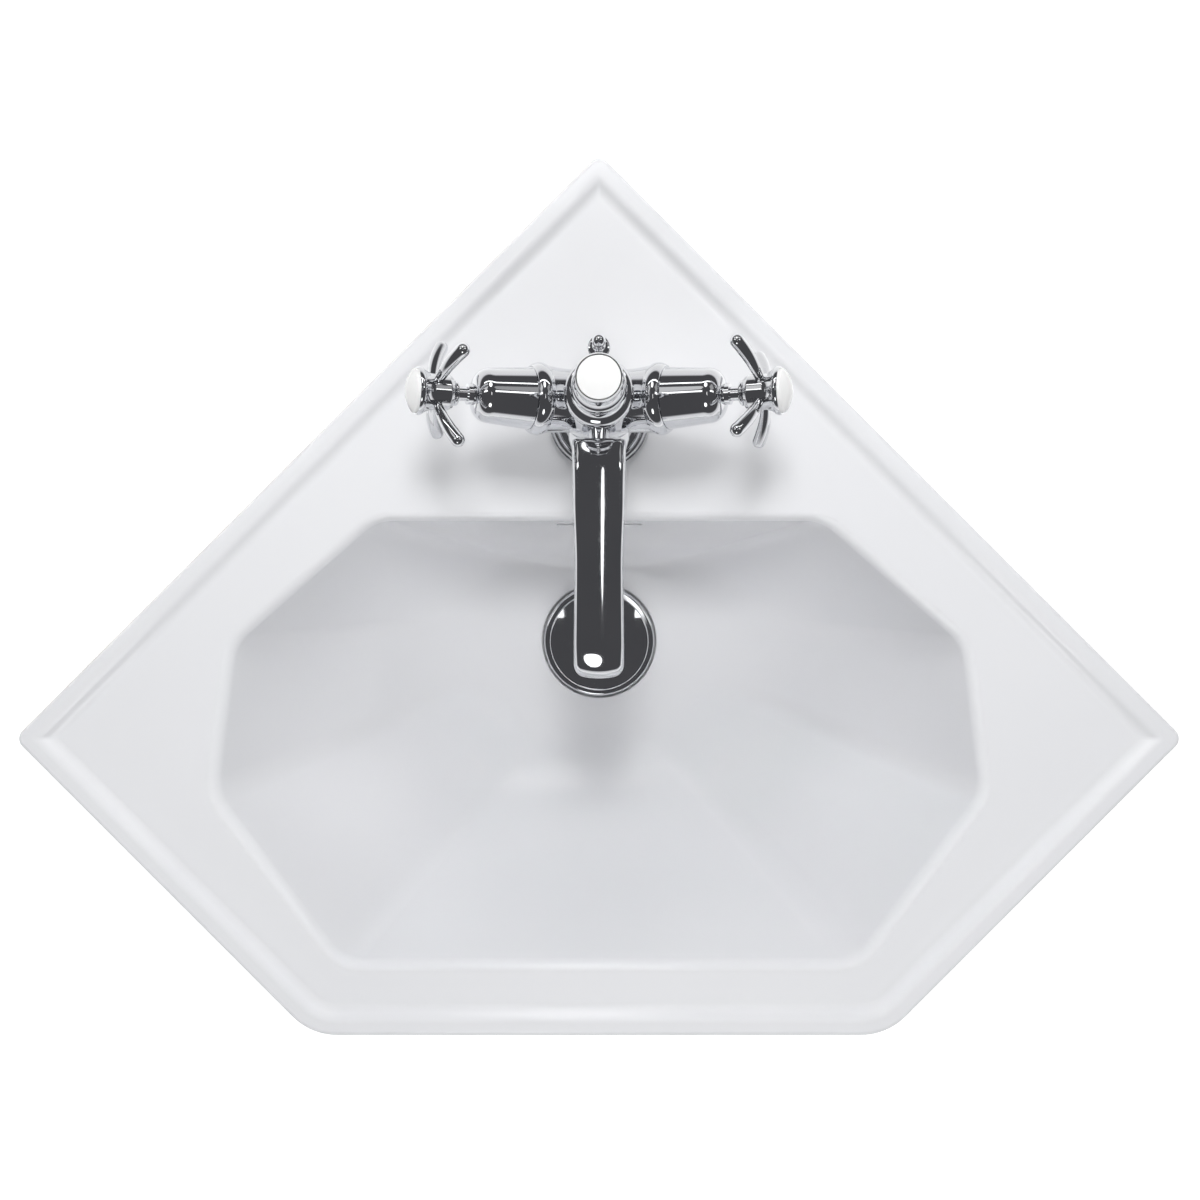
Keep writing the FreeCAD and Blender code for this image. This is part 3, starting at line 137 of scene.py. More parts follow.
def softened(a, corner, b, edge, steps=5):
    """Points that round the corner between a and b, starting edge away from it."""
    before = a - corner
    after = b - corner
    reach = min(edge, before.length * 0.45, after.length * 0.45)
    before.normalize()
    after.normalize()
    turn = math.pi - before.angle(after)
    if turn < math.radians(12) or reach < 1e-4:
        return [corner]
    weight = math.cos(turn / 2)
    start = corner + before * reach
    end = corner + after * reach
    line = []
    for i in range(steps + 1):
        t = i / steps
        parts = ((1 - t) ** 2, 2 * t * (1 - t) * weight, t * t)
        line.append((start * parts[0] + corner * parts[1] + end * parts[2]) / sum(parts))
    return line


def arc_through(a, middle, b, steps=12):
    """Points of the arc from a through middle to b, in a plane."""
    ab = b - a
    am = middle - a
    cross = 2 * (am.x * ab.y - am.y * ab.x)
    centre = a + Vector(((ab.y * am.length_squared - am.y * ab.length_squared),
                         (am.x * ab.length_squared - ab.x * am.length_squared))) / cross
    start = math.atan2(a.y - centre.y, a.x - centre.x)
    sweep = math.atan2(b.y - centre.y, b.x - centre.x) - start
    way = 1 if cross > 0 else -1
    sweep = way * ((way * sweep) % (2 * math.pi))
    radius = (a - centre).length
    turns = [start + sweep * i / steps for i in range(steps + 1)]
    return [centre + Vector((math.cos(t), math.sin(t))) * radius for t in turns]


def outline(profile, edge):
    """Turned outline: steps as (r, z), or (r_mid, z_mid, r, z) for an arc. Corners are rounded by edge."""
    here = Vector(profile[0])
    runs = []
    for step in profile[1:]:
        there = Vector(step[-2:])
        runs.append([here, there] if len(step) == 2 else arc_through(here, Vector(step[:2]), there))
        here = there
    line = [runs[0][0]]
    for before, after in zip(runs, runs[1:]):
        line.extend(before[1:-1])
        line.extend(softened(before[-2], before[-1], after[1], edge))
    return line + runs[-1][1:]


def turned(profile, edge=0.3, steps=96):
    """Solid of revolution about Z, closed on the axis or into a ring."""
    points = []
    rows = []
    for r, z in outline(profile, edge):
        if r < 1e-6:
            rows.append([len(points)] * steps)
            points.append(Vector((0, 0, z)))
            continue
        rows.append(list(range(len(points), len(points) + steps)))
        turns = [2 * math.pi * i / steps for i in range(steps)]
        points.extend(Vector((r * math.cos(t), r * math.sin(t), z)) for t in turns)
    if profile[0][0] > 1e-6:
        rows.append(rows[0])
    faces = []
    for a, b in zip(rows, rows[1:]):
        for i in range(steps):
            j = (i + 1) % steps
            face = list(dict.fromkeys((a[i], a[j], b[j], b[i])))
            if len(face) > 2:
                faces.append(face)
    return points, faces


def skinned(rows):
    """Closed skin through loops of equal counts, with a flat cap on each end."""
    count = len(rows[0])
    points = [p for row in rows for p in row]
    faces = [list(range(count)), list(range(len(points) - count, len(points)))]
    for k in range(len(rows) - 1):
        for i in range(count):
            j = (i + 1) % count
            faces.append((k * count + i, k * count + j, (k + 1) * count + j, (k + 1) * count + i))
    return points, faces


def placed(shape, matrix):
    return [matrix @ p for p in shape[0]], shape[1]


def on_tap(shape):
    return placed(shape, Matrix.Translation(TAP_ORIGIN))


def along_arm(shape, side):
    """Places a shape made along +Z on the arm of one side."""
    tilt = Matrix.Rotation(math.radians(side * (90 - ARM_TILT)), 4, "Y")
    return placed(shape, Matrix.Translation(TAP_ORIGIN + Z_AXIS * ARM_Z) @ tilt)


def rounded_loop(corners, radii, arc_steps, edge_steps):
    """Points round a polygon with rounded corners, always as many of them."""
    count = len(corners)
    arcs = []
    for i, radius in enumerate(radii):
        back = (corners[i - 1] - corners[i]).normalized()
        ahead = (corners[(i + 1) % count] - corners[i]).normalized()
        half = back.angle(ahead) / 2
        centre = corners[i] + (back + ahead).normalized() * (radius / math.sin(half))
        start = corners[i] + back * (radius / math.tan(half)) - centre
        end = corners[i] + ahead * (radius / math.tan(half)) - centre
        sweep = start.angle_signed(end)
        turns = [Matrix.Rotation(-sweep * k / arc_steps, 2) for k in range(arc_steps + 1)]
        arcs.append([centre + turn @ start for turn in turns])
    loop = []
    for i in range(count):
        loop.extend(arcs[i])
        following = arcs[(i + 1) % count][0]
        for k in range(1, edge_steps[i]):
            loop.append(arcs[i][-1].lerp(following, k / edge_steps[i]))
    return loop


# ---------- materials ----------

def shader(name):
    material = bpy.data.materials.new(name)
    material.use_nodes = True
    tree = material.node_tree
    place = tree.nodes.new("ShaderNodeTexCoord").outputs["Object"]
    return material, tree, tree.nodes["Principled BSDF"], place


def noise(tree, place, scale, detail=3.0):
    node = tree.nodes.new("ShaderNodeTexNoise")
    node.inputs["Scale"].default_value = scale
    node.inputs["Detail"].default_value = detail
    tree.links.new(place, node.inputs["Vector"])
    return node.outputs["Fac"]


def spread(tree, value, low, high, start=0.3, end=0.7):
    node = tree.nodes.new("ShaderNodeMapRange")
    node.inputs["From Min"].default_value = start
    node.inputs["From Max"].default_value = end
    node.inputs["To Min"].default_value = low
    node.inputs["To Max"].default_value = high
    tree.links.new(value, node.inputs["Value"])
    return node.outputs["Result"]


def tinted(tree, value, first, second):
    node = tree.nodes.new("ShaderNodeValToRGB")
    node.color_ramp.elements[0].position = 0.3
    node.color_ramp.elements[1].position = 0.7
    node.color_ramp.elements[0].color = (*first, 1)
    node.color_ramp.elements[1].color = (*second, 1)
    tree.links.new(value, node.inputs["Fac"])
    return node.outputs["Color"]


def bumped(tree, bsdf, height, strength, distance):
    node = tree.nodes.new("ShaderNodeBump")
    node.inputs["Strength"].default_value = strength
    node.inputs["Distance"].default_value = distance
    tree.links.new(height, node.inputs["Height"])
    tree.links.new(node.outputs["Normal"], bsdf.inputs["Normal"])


def finish(name, first, second, rough, metallic=0.0, patch=8.0, grain=300.0, depth=0.00002, relief=0.2):
    """Surface with two close tones in patches, uneven roughness and a fine relief."""
    material, tree, bsdf, place = shader(name)
    patches = noise(tree, place, patch)
    tree.links.new(tinted(tree, patches, first, second), bsdf.inputs["Base Color"])
    tree.links.new(spread(tree, noise(tree, place, patch * 5), *rough), bsdf.inputs["Roughness"])
    bumped(tree, bsdf, noise(tree, place, grain), relief, depth)
    bsdf.inputs["Metallic"].default_value = metallic
    return material, tree, bsdf, place


def glazed_china():
    material, _, bsdf, _ = finish(
        "glazed_china", (0.80, 0.805, 0.825), (0.82, 0.824, 0.842), (0.07, 0.13), patch=5.0,
        grain=70.0, depth=0.0002, relief=0.06)
    bsdf.inputs["IOR"].default_value = 1.5
    return material


def chrome_plate():
    return finish("chrome_plate", (0.74, 0.75, 0.77), (0.78, 0.785, 0.80), (0.035, 0.07), 1.0,
                  patch=40.0, grain=220.0, depth=0.00003, relief=0.08)[0]


def porcelain():
    material, _, bsdf, _ = finish(
        "porcelain", (0.84, 0.84, 0.835), (0.87, 0.87, 0.865), (0.08, 0.14), patch=60.0,
        grain=400.0, relief=0.08)
    bsdf.inputs["Coat Weight"].default_value = 0.4
    return material


def raw_brass():
    material, tree, bsdf, place = finish(
        "raw_brass", (0.60, 0.43, 0.18), (0.72, 0.55, 0.27), (0.22, 0.36), 1.0, patch=45.0)
    rings = tree.nodes.new("ShaderNodeTexWave")
    rings.wave_type = "RINGS"
    rings.rings_direction = "Z"
    rings.inputs["Scale"].default_value = 700.0
    rings.inputs["Distortion"].default_value = 2.0
    tree.links.new(place, rings.inputs["Vector"])
    bumped(tree, bsdf, rings.outputs["Fac"], 0.25, 0.00004)
    return material


def alumina():
    return finish("alumina", (0.84, 0.80, 0.76), (0.90, 0.87, 0.84), (0.18, 0.3), patch=80.0)[0]


def black_rubber():
    return finish("black_rubber", (0.018, 0.018, 0.02), (0.04, 0.04, 0.042), (0.6, 0.85), patch=60.0,
                  grain=900.0, depth=0.0001, relief=0.5)[0]


def white_nylon():
    material, _, bsdf, _ = finish(
        "white_nylon", (0.78, 0.78, 0.74), (0.84, 0.84, 0.81), (0.38, 0.55), patch=50.0,
        grain=700.0, depth=0.00005, relief=0.3)
    bsdf.inputs["Subsurface Weight"].default_value = 0.1
    bsdf.inputs["Subsurface Scale"].default_value = 0.002
    return material


def zinc_steel():
    material, tree, bsdf, place = finish(
        "zinc_steel", (0.50, 0.52, 0.55), (0.66, 0.67, 0.69), (0.28, 0.46), 1.0, patch=70.0)
    spangle = tree.nodes.new("ShaderNodeTexVoronoi")
    spangle.inputs["Scale"].default_value = 260.0
    tree.links.new(place, spangle.inputs["Vector"])
    bumped(tree, bsdf, spangle.outputs["Distance"], 0.2, 0.00004)
    return material


MATERIALS = {make.__name__: make() for make in (
    glazed_china, chrome_plate, porcelain, raw_brass, alumina, black_rubber, white_nylon, zinc_steel)}


# ---------- pieces ----------

def smooth(target, crease):
    """Smooth shading that keeps edges sharper than the crease angle."""
    target.data.polygons.foreach_set("use_smooth", [True] * len(target.data.polygons))
    target.data.set_sharp_from_angle(angle=math.radians(crease))
    weighted = target.modifiers.new("even_normals", "WEIGHTED_NORMAL")
    weighted.keep_sharp = True
    weighted.weight = 100


def body(name, shape):
    """Object with outward faces, before it is given to the frame."""
    mesh = bpy.data.meshes.new(name)
    mesh.from_pydata([p * MM for p in shape[0]], [], shape[1])
    work = bmesh.new()
    work.from_mesh(mesh)
    bmesh.ops.recalc_face_normals(work, faces=work.faces)
    work.to_mesh(mesh)
    work.free()
    made = bpy.data.objects.new(name, mesh)
    bpy.context.scene.collection.objects.link(made)
    return made


def carve(target, shape, operation):
    """Joins a shape to the target, or cuts it out."""
    tool = body(target.name + "_tool", shape)
    change = target.modifiers.new("carve", "BOOLEAN")
    change.operation = operation
    change.solver = "EXACT"
    change.object = tool
    evaluated = target.evaluated_get(bpy.context.evaluated_depsgraph_get())
    mesh = bpy.data.meshes.new_from_object(evaluated)
    target.modifiers.clear()
    target.data = mesh
    bpy.data.objects.remove(tool)


def stand_for(target, *nodes, crease=32.0):
    """Gives a finished piece the body, slot and material of the nodes it stands for."""
    slot = SLOT_OF[nodes[0]]
    target.data.materials.clear()
    target.data.materials.append(MATERIALS[slot])
    smooth(target, crease)
    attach(target, NODES[nodes[0]]["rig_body"])
    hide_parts(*nodes)


# ---------- basin ----------

class Skin:
    """Points and faces of a shape that is built from loops."""

    def __init__(self):
        self.points = []
        self.faces = []

    def row(self, loop):
        start = len(self.points)
        self.points.extend(loop)
        return list(range(start, len(self.points)))

    def strip(self, a, b):
        for i in range(len(a)):
            j = (i + 1) % len(a)
            self.faces.append((a[i], a[j], b[j], b[i]))

    def rows(self, loops, last):
        """Joins each loop to the row before it, and gives back the last row."""
        for loop in loops:
            row = self.row(loop)
            self.strip(last, row)
            last = row
        return last

    def stitch(self, outer, inner, centre):
        """Triangles between two level loops that run the same way round the centre."""
        loops = []
        for loop in (outer, inner):
            turns = [math.atan2(*reversed((self.points[i].xy - centre)[:])) for i in loop]
            first = turns.index(min(turns))
            order = loop[first:] + loop[:first]
            sorted_turns = turns[first:] + turns[:first]
            loops.append((order + [order[0]], sorted_turns + [sorted_turns[0] + 2 * math.pi]))
        (a, turn_a), (b, turn_b) = loops
        i = 0
        j = 0
        while i < len(a) - 1 or j < len(b) - 1:
            if j == len(b) - 1 or (i < len(a) - 1 and turn_a[i + 1] < turn_b[j + 1]):
                self.faces.append((a[i], a[i + 1], b[j]))
                i += 1
            else:
                self.faces.append((a[i], b[j + 1], b[j]))
                j += 1


def plan_loop(inset, lean):
    """Plan of the basin, moved in by inset, and by lean more on the open sides."""
    slant = math.sqrt(2)
    open_inset = inset + lean
    side_x = (WIDTH - (inset + open_inset) * slant) / 2
    side_y = -(WIDTH + (inset - open_inset) * slant) / 2
    front_y = FRONT_EDGE / 2 - WIDTH + open_inset
    front_x = WIDTH - open_inset * slant + front_y
    corners = [(0, -inset * slant), (-side_x, side_y), (-front_x, front_y),
               (front_x, front_y), (side_x, side_y)]
    wall_r = max(WALL_CORNER_R - inset, 1.5)
    front_r = max(FRONT_CORNER_R - inset, 6.0)
    return rounded_loop([Vector(c) for c in corners], [wall_r, wall_r, front_r, front_r, wall_r],
                        10, (60, 30, 40, 30, 60))


def wall_drop(point):
    """How much lower than the apron's foot the wall sides reach at this place."""
    from_wall = (-point.y - abs(point.x)) / math.sqrt(2)
    along = (abs(point.x) - point.y) / math.sqrt(2)
    if from_wall > 4 * CHINA_T:
        return 0.0
    share = (WALL_SIDE_END - along) / (WALL_SIDE_END - WALL_SIDE_LOW)
    return (WALL_SIDE_HEIGHT - APRON_HEIGHT) * min(1.0, max(0.0, share))


def plan_ring(inset, z):
    lean = APRON_LEAN * max(0.0, -z) / APRON_HEIGHT
    straight = -LIP_STEP - DECK_T
    share = min(1.0, max(0.0, (straight - z) / (straight + APRON_HEIGHT - 4)))
    return [Vector((p.x, p.y, z - share * wall_drop(p))) for p in plan_loop(inset, lean)]


def shell_rings():
    """Loops from the deck over the lip, down the outside, round the foot and up inside."""
    under_deck = -LIP_STEP - DECK_T
    corners = [(LIP_WIDTH + LIP_SLOPE + 12, -LIP_STEP, 0), (LIP_WIDTH + LIP_SLOPE, -LIP_STEP, 3.0),
               (LIP_WIDTH, 0, 2.2), (0, 0, 2.6), (0, -APRON_HEIGHT, 2.4),
               (CHINA_T, -APRON_HEIGHT, 2.4), (CHINA_T, under_deck, 7.0), (CHINA_T + 9, under_deck, 0)]
    spots = [Vector(c[:2]) for c in corners]
    line = [spots[0]]
    for i in range(1, len(spots) - 1):
        line.extend(softened(spots[i - 1], spots[i], spots[i + 1], corners[i][2]))
    line.append(spots[-1])
    return [plan_ring(inset, z) for inset, z in line]


def bowl_loop(blend, grow=0.0):
    """Level loop of the bowl, from the rim (0) to the floor (1)."""
    half = FLOOR_HALF * math.tan(math.pi / 8)
    floor = [(half, FLOOR_HALF - WASTE_BACK), (FLOOR_HALF, half - WASTE_BACK),
             (FLOOR_HALF, -half - WASTE_BACK), (half, -FLOOR_HALF - WASTE_BACK)]
    middle = (BOWL_RIM[0][1] + BOWL_RIM[3][1]) / 2
    right = []
    for rim_corner, floor_corner in zip(BOWL_RIM, floor):
        spot = Vector(rim_corner).lerp(Vector(floor_corner), blend)
        centre = Vector((0, middle + (-WASTE_BACK - middle) * blend))
        away = spot - centre
        right.append(centre + away * (1 + grow / away.length))
    corners = [Vector((-p.x, p.y)) for p in right] + list(reversed(right))
    radius = BOWL_CORNER_R + (FLOOR_CORNER_R - BOWL_CORNER_R) * blend
    return rounded_loop(corners, [radius] * 8, 10, (14, 14, 16, 30, 16, 14, 14, 30))


def at_height(loop, z):
    return [Vector((p.x, p.y, z)) for p in loop]


def bowl_depth(blend):
    return BOWL_DEPTH * (1 - (1 - blend) ** BOWL_CURVE)


def widened(loop, distance):
    """Loop moved outwards by a distance, square to itself."""
    moved = []
    for i, here in enumerate(loop):
        along = loop[(i + 1) % len(loop)] - loop[i - 1]
        moved.append(here + Vector((along.y, -along.x)).normalized() * distance)
    return moved


def bowl_rings():
    """Loops from the deck over the rounded rim, down to the floor."""
    deck = -LIP_STEP
    rim = bowl_loop(0)
    start = 1 - (1 - RIM_TANGENT / BOWL_DEPTH) ** (1 / BOWL_CURVE)
    outer = at_height(widened(rim, RIM_TANGENT), deck)
    corner = at_height(rim, deck)
    inner = at_height(bowl_loop(start), deck - bowl_depth(start))
    rings = [at_height(widened(rim, RIM_TANGENT + 3), deck)]
    steps = 7
    weight = math.cos(math.radians(40))
    for k in range(steps + 1):
        t = k / steps
        parts = ((1 - t) ** 2, 2 * t * (1 - t) * weight, t * t)
        rings.append([(a * parts[0] + b * parts[1] + c * parts[2]) / sum(parts)
                      for a, b, c in zip(outer, corner, inner)])
    walls = 44
    for k in range(1, walls + 1):
        blend = start + (1 - start) * k / walls
        rings.append(at_height(bowl_loop(blend), deck - bowl_depth(blend)))
    return rings


def waste_rings(floor_loop):
    """Loops of the waste seat, its hole and its boss, matched to the floor's loop."""
    floor = -LIP_STEP - BOWL_DEPTH
    low = SEAT_Z - WASTE_BOSS_T
    under = floor - CHINA_T
    corners = [(SEAT_R + 3, floor), (SEAT_R, floor), (SEAT_R, SEAT_Z), (WASTE_HOLE_R, SEAT_Z),
               (WASTE_HOLE_R, low), (WASTE_BOSS_R, low), (WASTE_BOSS_R, under), (WASTE_BOSS_R + 8, under)]
    rings = []
    for r, z in outline(corners, 1.0):
        rings.append([(WASTE_CENTRE + (p - WASTE_CENTRE).normalized() * r).to_3d() + Z_AXIS * z
                      for p in floor_loop])
    return rings


def under_bowl_rings():
    """Loops of the bowl's outside, from its floor up to the underside of the deck."""
    rings = []
    steps = 24
    first = 0.036
    for k in range(steps + 1):
        blend = 1 - (1 - first) * k / steps
        z = -LIP_STEP - bowl_depth(blend) - CHINA_T * min(1.0, blend * 3)
        rings.append(at_height(bowl_loop(blend, CHINA_T), max(z, SEAT_Z + SEAT_DEPTH - CHINA_T)))
    under_deck = -LIP_STEP - DECK_T
    rings[-1] = at_height([p.xy for p in rings[-1]], under_deck)
    return rings


def side_profile(points, width):
    """Outline in Y and Z, made as wide as stated about the middle."""
    return skinned([[Vector((x, y, z)) for y, z in points] for x in (-width / 2, width / 2)])


def overflow_cover():
    """China round the overflow, behind and under the bowl."""
    top = -LIP_STEP - DECK_T / 2
    low = SEAT_Z - WASTE_BOSS_T + 0.6
    front = []
    for blend in (1.0, 0.8, 0.6, 0.4, 0.2, 0.1):
        wall = BOWL_RIM[0][1] + (FLOOR_HALF - WASTE_BACK - BOWL_RIM[0][1]) * blend
        front.append((wall + CHINA_T / 2, -LIP_STEP - bowl_depth(blend) - CHINA_T / 2 * blend))
    points = [(front[-1][0], top), (COVER_BACK, top), (COVER_BACK, SEAT_Z - 8),
              (-WASTE_BACK + WASTE_BOSS_R - 3, low), (-WASTE_BACK + 26, low),
              (-WASTE_BACK + 26, SEAT_Z - CHINA_T)] + front
    return side_profile(points, OVERFLOW_WIDTH + CHINA_T)


def overflow_mouth():
    """Slot with round ends through the back of the bowl into its duct."""
    half = OVERFLOW_WIDTH / 2
    top = -LIP_STEP - OVERFLOW_DROP
    low = top - OVERFLOW_SLOT
    end_r = OVERFLOW_SLOT / 2 - 0.05
    corners = [Vector(c) for c in ((-half, low), (half, low), (half, top), (-half, top))]
    loop = rounded_loop(corners, [end_r] * 4, 8, (2, 2, 2, 2))
    return skinned([[Vector((p.x, y, p.y)) for p in loop] for y in MOUTH_SPAN])


def overflow_duct():
    """Way down from the slot, behind the wall of the bowl."""
    top = -LIP_STEP - OVERFLOW_DROP
    points = [(DUCT_FRONT, top), (DUCT_BACK, top), (DUCT_BACK, -122.0), (DUCT_FRONT, -118.0)]
    return side_profile(points, OVERFLOW_WIDTH - OVERFLOW_SLOT)


def rod(radius, z0, z1, steps=64):
    return turned([(0, z0), (radius, z0), (radius, z1), (0, z1)], 0, steps)


def make_basin():
    skin = Skin()
    centre = Vector((0, -300))
    shell = shell_rings()
    bowl = bowl_rings()
    deck_row = skin.row(shell[0])
    inside_row = skin.rows(shell[1:], deck_row)
    rim_row = skin.row(bowl[0])
    skin.stitch(deck_row, rim_row, centre)
    floor_row = skin.rows(bowl[1:], rim_row)
    boss_row = skin.rows(waste_rings(bowl_loop(1)), floor_row)
    under_row = skin.rows(under_bowl_rings(), boss_row)
    skin.stitch(inside_row, under_row, centre)
    china = body("basin_china", (skin.points, skin.faces))
    carve(china, overflow_cover(), "UNION")
    carve(china, overflow_duct(), "DIFFERENCE")
    carve(china, overflow_mouth(), "DIFFERENCE")
    carve(china, placed(rod(TAP_HOLE_R, -DECK_T * 2, DECK_T), Matrix.Translation(TAP_ORIGIN)), "DIFFERENCE")
    for side in (1, -1):
        across = Matrix.Rotation(math.radians(90), 4, "X")
        spot = Matrix.Translation((WALL_BOLT_ALONG, 0, -WALL_BOLT_DROP))
        turn = Matrix.Rotation(math.radians(-45), 4, "Z")
        mirror = Matrix.Diagonal((side, 1, 1, 1))
        hole = placed(rod(WALL_BOLT_R, -CHINA_T * 2, CHINA_T * 2), mirror @ turn @ spot @ across)
        carve(china, hole, "DIFFERENCE")
    stand_for(china, "basin", "basin_left_wall_side", "basin_right_wall_side", crease=38)


make_basin()


# ---------- mixer ----------

def column():
    return turned([
        (0, 1.5), (20.8, 1.5), (20.8, 9), (17.4, 11, 16.2, 16), (16.2, 35.1),
        (18.6, 54.1, 14.7, 70.1), (12.8, 76, 14.2, 78.5), (15.6, 81.5, 14.0, 84.5),
        (12.1, 85.7, 11.3, 92), (0, 92)], 0.5, 128)


def arm_stub():
    return turned([(0, 2), (15.6, 2), (14.4, 15.6, 15.4, 26.9), (16.3, 31.2, 14.7, 34), (0, 34)], 0.5, 128)


def rod_boss():
    return placed(turned([(0, 9), (4.6, 9), (4.6, 93.4), (0, 93.4)], 0.8, 64),
                  Matrix.Translation((0, ROD_BACK, 0)))


def boss_web():
    """Metal that ties the lift rod's boss to the column."""
    rows = []
    for z in (10, 88):
        rows.append([Vector((x, y, z)) for x, y in ((-3.2, 9), (3.2, 9), (3.2, ROD_BACK), (-3.2, ROD_BACK))])
    return skinned(rows)


def make_mixer_body():
    mixer = body("mixer_body", on_tap(column()))
    for side in SIDES.values():
        carve(mixer, along_arm(arm_stub(), side), "UNION")
    carve(mixer, on_tap(rod_boss()), "UNION")
    carve(mixer, on_tap(boss_web()), "UNION")
    stand_for(mixer, "tap_body")


def spout_station(y, half, top, bottom, ease):
    """One section of the spout, eased in at its ends: crowned top, rounded corners, round belly."""
    crown = 1.1
    width = half - ease * 0.75
    high = top - ease
    low = bottom + ease * 0.5
    brow = high - crown
    corners = [Vector(c) for c in ((-width, low), (width, low), (width, brow), (-width, brow))]
    low_r = min(width, (high - low) / 2) * 0.8
    high_r = max(3.0 - ease * 0.3, 1.0)
    loop = rounded_loop(corners, [low_r, low_r, high_r, high_r], 10, (6, 6, 24, 6))
    points = []
    for p in loop:
        rise = crown * (1 - (p.x / width) ** 2) if p.y > (high + low) / 2 else 0
        points.append(Vector((p.x, y, p.y + rise)))
    return points


def between(knots, y):
    """Smooth value at y from (y, value) knots in falling order of y."""
    for (y0, v0), (y1, v1) in zip(knots, knots[1:]):
        if y >= y1:
            t = min(1.0, max(0.0, (y0 - y) / (y0 - y1)))
            return v0 + (v1 - v0) * t * t * (3 - 2 * t)
    return knots[-1][1]


def spout_saddle():
    """Ridged root that carries the spout on the column."""
    rows = []
    for y, half in ((-6, 14.4), (-17, 14.4), (-21, 13.2), (-26, 12.0), (-32, 11.2)):
        corners = [(half, 56.5), (0, 72.6), (-half, 56.5), (3 - half, 50), (half - 3, 50)]
        loop = rounded_loop([Vector(c) for c in reversed(corners)], [2.0, 2.0, 2.5, 3.5, 2.5], 8, (6,) * 5)
        rows.append([Vector((p.x, y, p.y)) for p in loop])
    return skinned(rows)


def spout_neck():
    """Small round neck between the column and the top of the spout."""
    rows = []
    for y, half in ((-11, 4.9), (-16, 4.6), (-18, 4.5), (-20.5, 4.7)):
        turns = [2 * math.pi * k / 40 for k in range(40)]
        rows.append([Vector((half * math.cos(t), y, SPOUT_TOP - 9.6 + 5.6 * math.sin(t))) for t in turns])
    return skinned(rows)


def make_spout():
    root = -18.6
    nose = -SPOUT_REACH + 1.9
    widths = [(root, 12.2), (-45, 11.8), (-75, 11.0), (-SPOUT_REACH, 11.35)]
    tops = [(root, SPOUT_TOP - 0.2), (-60, SPOUT_TOP - 0.2), (-OUTLET_REACH, SPOUT_TOP - 0.9)]
    bottoms = [(root, SPOUT_BOTTOM - 2), (-40, SPOUT_BOTTOM + 1), (-75, SPOUT_BOTTOM + 1),
               (-SPOUT_REACH, SPOUT_BOTTOM)]
    turns = [math.radians(a) for a in (84, 74, 64, 54, 44, 34, 24, 12)]
    root_fall = 1.8
    nose_fall = 4.0
    stops = [(root - root_fall * (1 - math.sin(a)), root_fall * (1 - math.cos(a))) for a in turns]
    length = root - root_fall - (nose + nose_fall)
    stops += [(root - root_fall - length * k / 60, 0.0) for k in range(61)]
    stops += [(nose + nose_fall * (1 - math.sin(a)), nose_fall * (1 - math.cos(a))) for a in reversed(turns)]
    rows = []
    for y, ease in stops:
        to_nose = min(1.0, max(0.0, (nose + 20 - y) / 20))
        bulge = 1.9 * to_nose ** 2
        droop = 0.0125 * max(0.0, y - root + 14) ** 2
        droop += 0.035 * max(0.0, nose + 14 - y) ** 2 - 0.0195 * max(0.0, nose + 9.3 - y) ** 2
        row = spout_station(y, between(widths, y), between(tops, y) - droop, between(bottoms, y), ease)
        low = min(p.z for p in row)
        high = max(p.z for p in row)
        for p in row:
            p.y -= bulge * (1 - (p.x / 11.4) ** 2) + 1.2 * to_nose ** 4 * (high - p.z) / (high - low)
        rows.append(row)
    arm = body("spout_arm", on_tap(skinned(rows)))
    carve(arm, on_tap(spout_saddle()), "UNION")
    carve(arm, on_tap(spout_neck()), "UNION")
    nozzle = turned([(0, 53), (10.4, 53), (10.4, 66), (0, 66)], 0.7)
    carve(arm, on_tap(placed(nozzle, Matrix.Translation((0, -OUTLET_REACH, 0)))), "UNION")
    recess = turned([(0, 50), (8.5, 50), (8.5, 57), (0, 57)], 0)
    carve(arm, on_tap(placed(recess, Matrix.Translation((0, -OUTLET_REACH, 0)))), "DIFFERENCE")
    stand_for(arm, "spout")


def make_base_flange():
    flange = turned([
        (20.85, 1.5), (25.3, 1.5), (25.3, 3.1), (25.0, 3.8, 24.3, 4.0), (24.3, 4.5),
        (23.7, 5.9, 22.3, 6.8), (22.1, 7.5), (20.85, 7.5), (20.85, 1.5)], 0.25, 128)
    stand_for(body("flange_ring", on_tap(flange)), "base_flange")


def make_top_cap():
    cap = turned([
        (0, 84), (5, 84), (5, 92), (10.7, 92), (9.5, 95, 10.9, 97.5), (11.9, 99.3, 10.9, 101.1),
        (8.8, 104.3, 10.05, 112.2), (10.35, 113.0), (10.35, 116.1), (9.6, 117.2), (9.55, 117.2),
        (9.55, 115), (0, 115)], 0.3, 128)
    stand_for(body("cap_ring", on_tap(cap)), "top_cap")
    disc = turned([(0, 115), (9.15, 115), (9.15, 117.1), (4.7, 117.9, 0, 118.2)], 0.3, 128)
    stand_for(body("cap_disc", on_tap(disc)), "top_index_disc")


def shroud():
    return turned([
        (12.7, 34), (14.0, 34), (12.3, 53), (10.1, 58.3, 4.8, 60.5), (4.65, 60.5), (4.65, 59.2),
        (4.8, 59.2), (8.8, 57.0, 11.0, 51.7), (12.7, 34)], 0.35, 128)


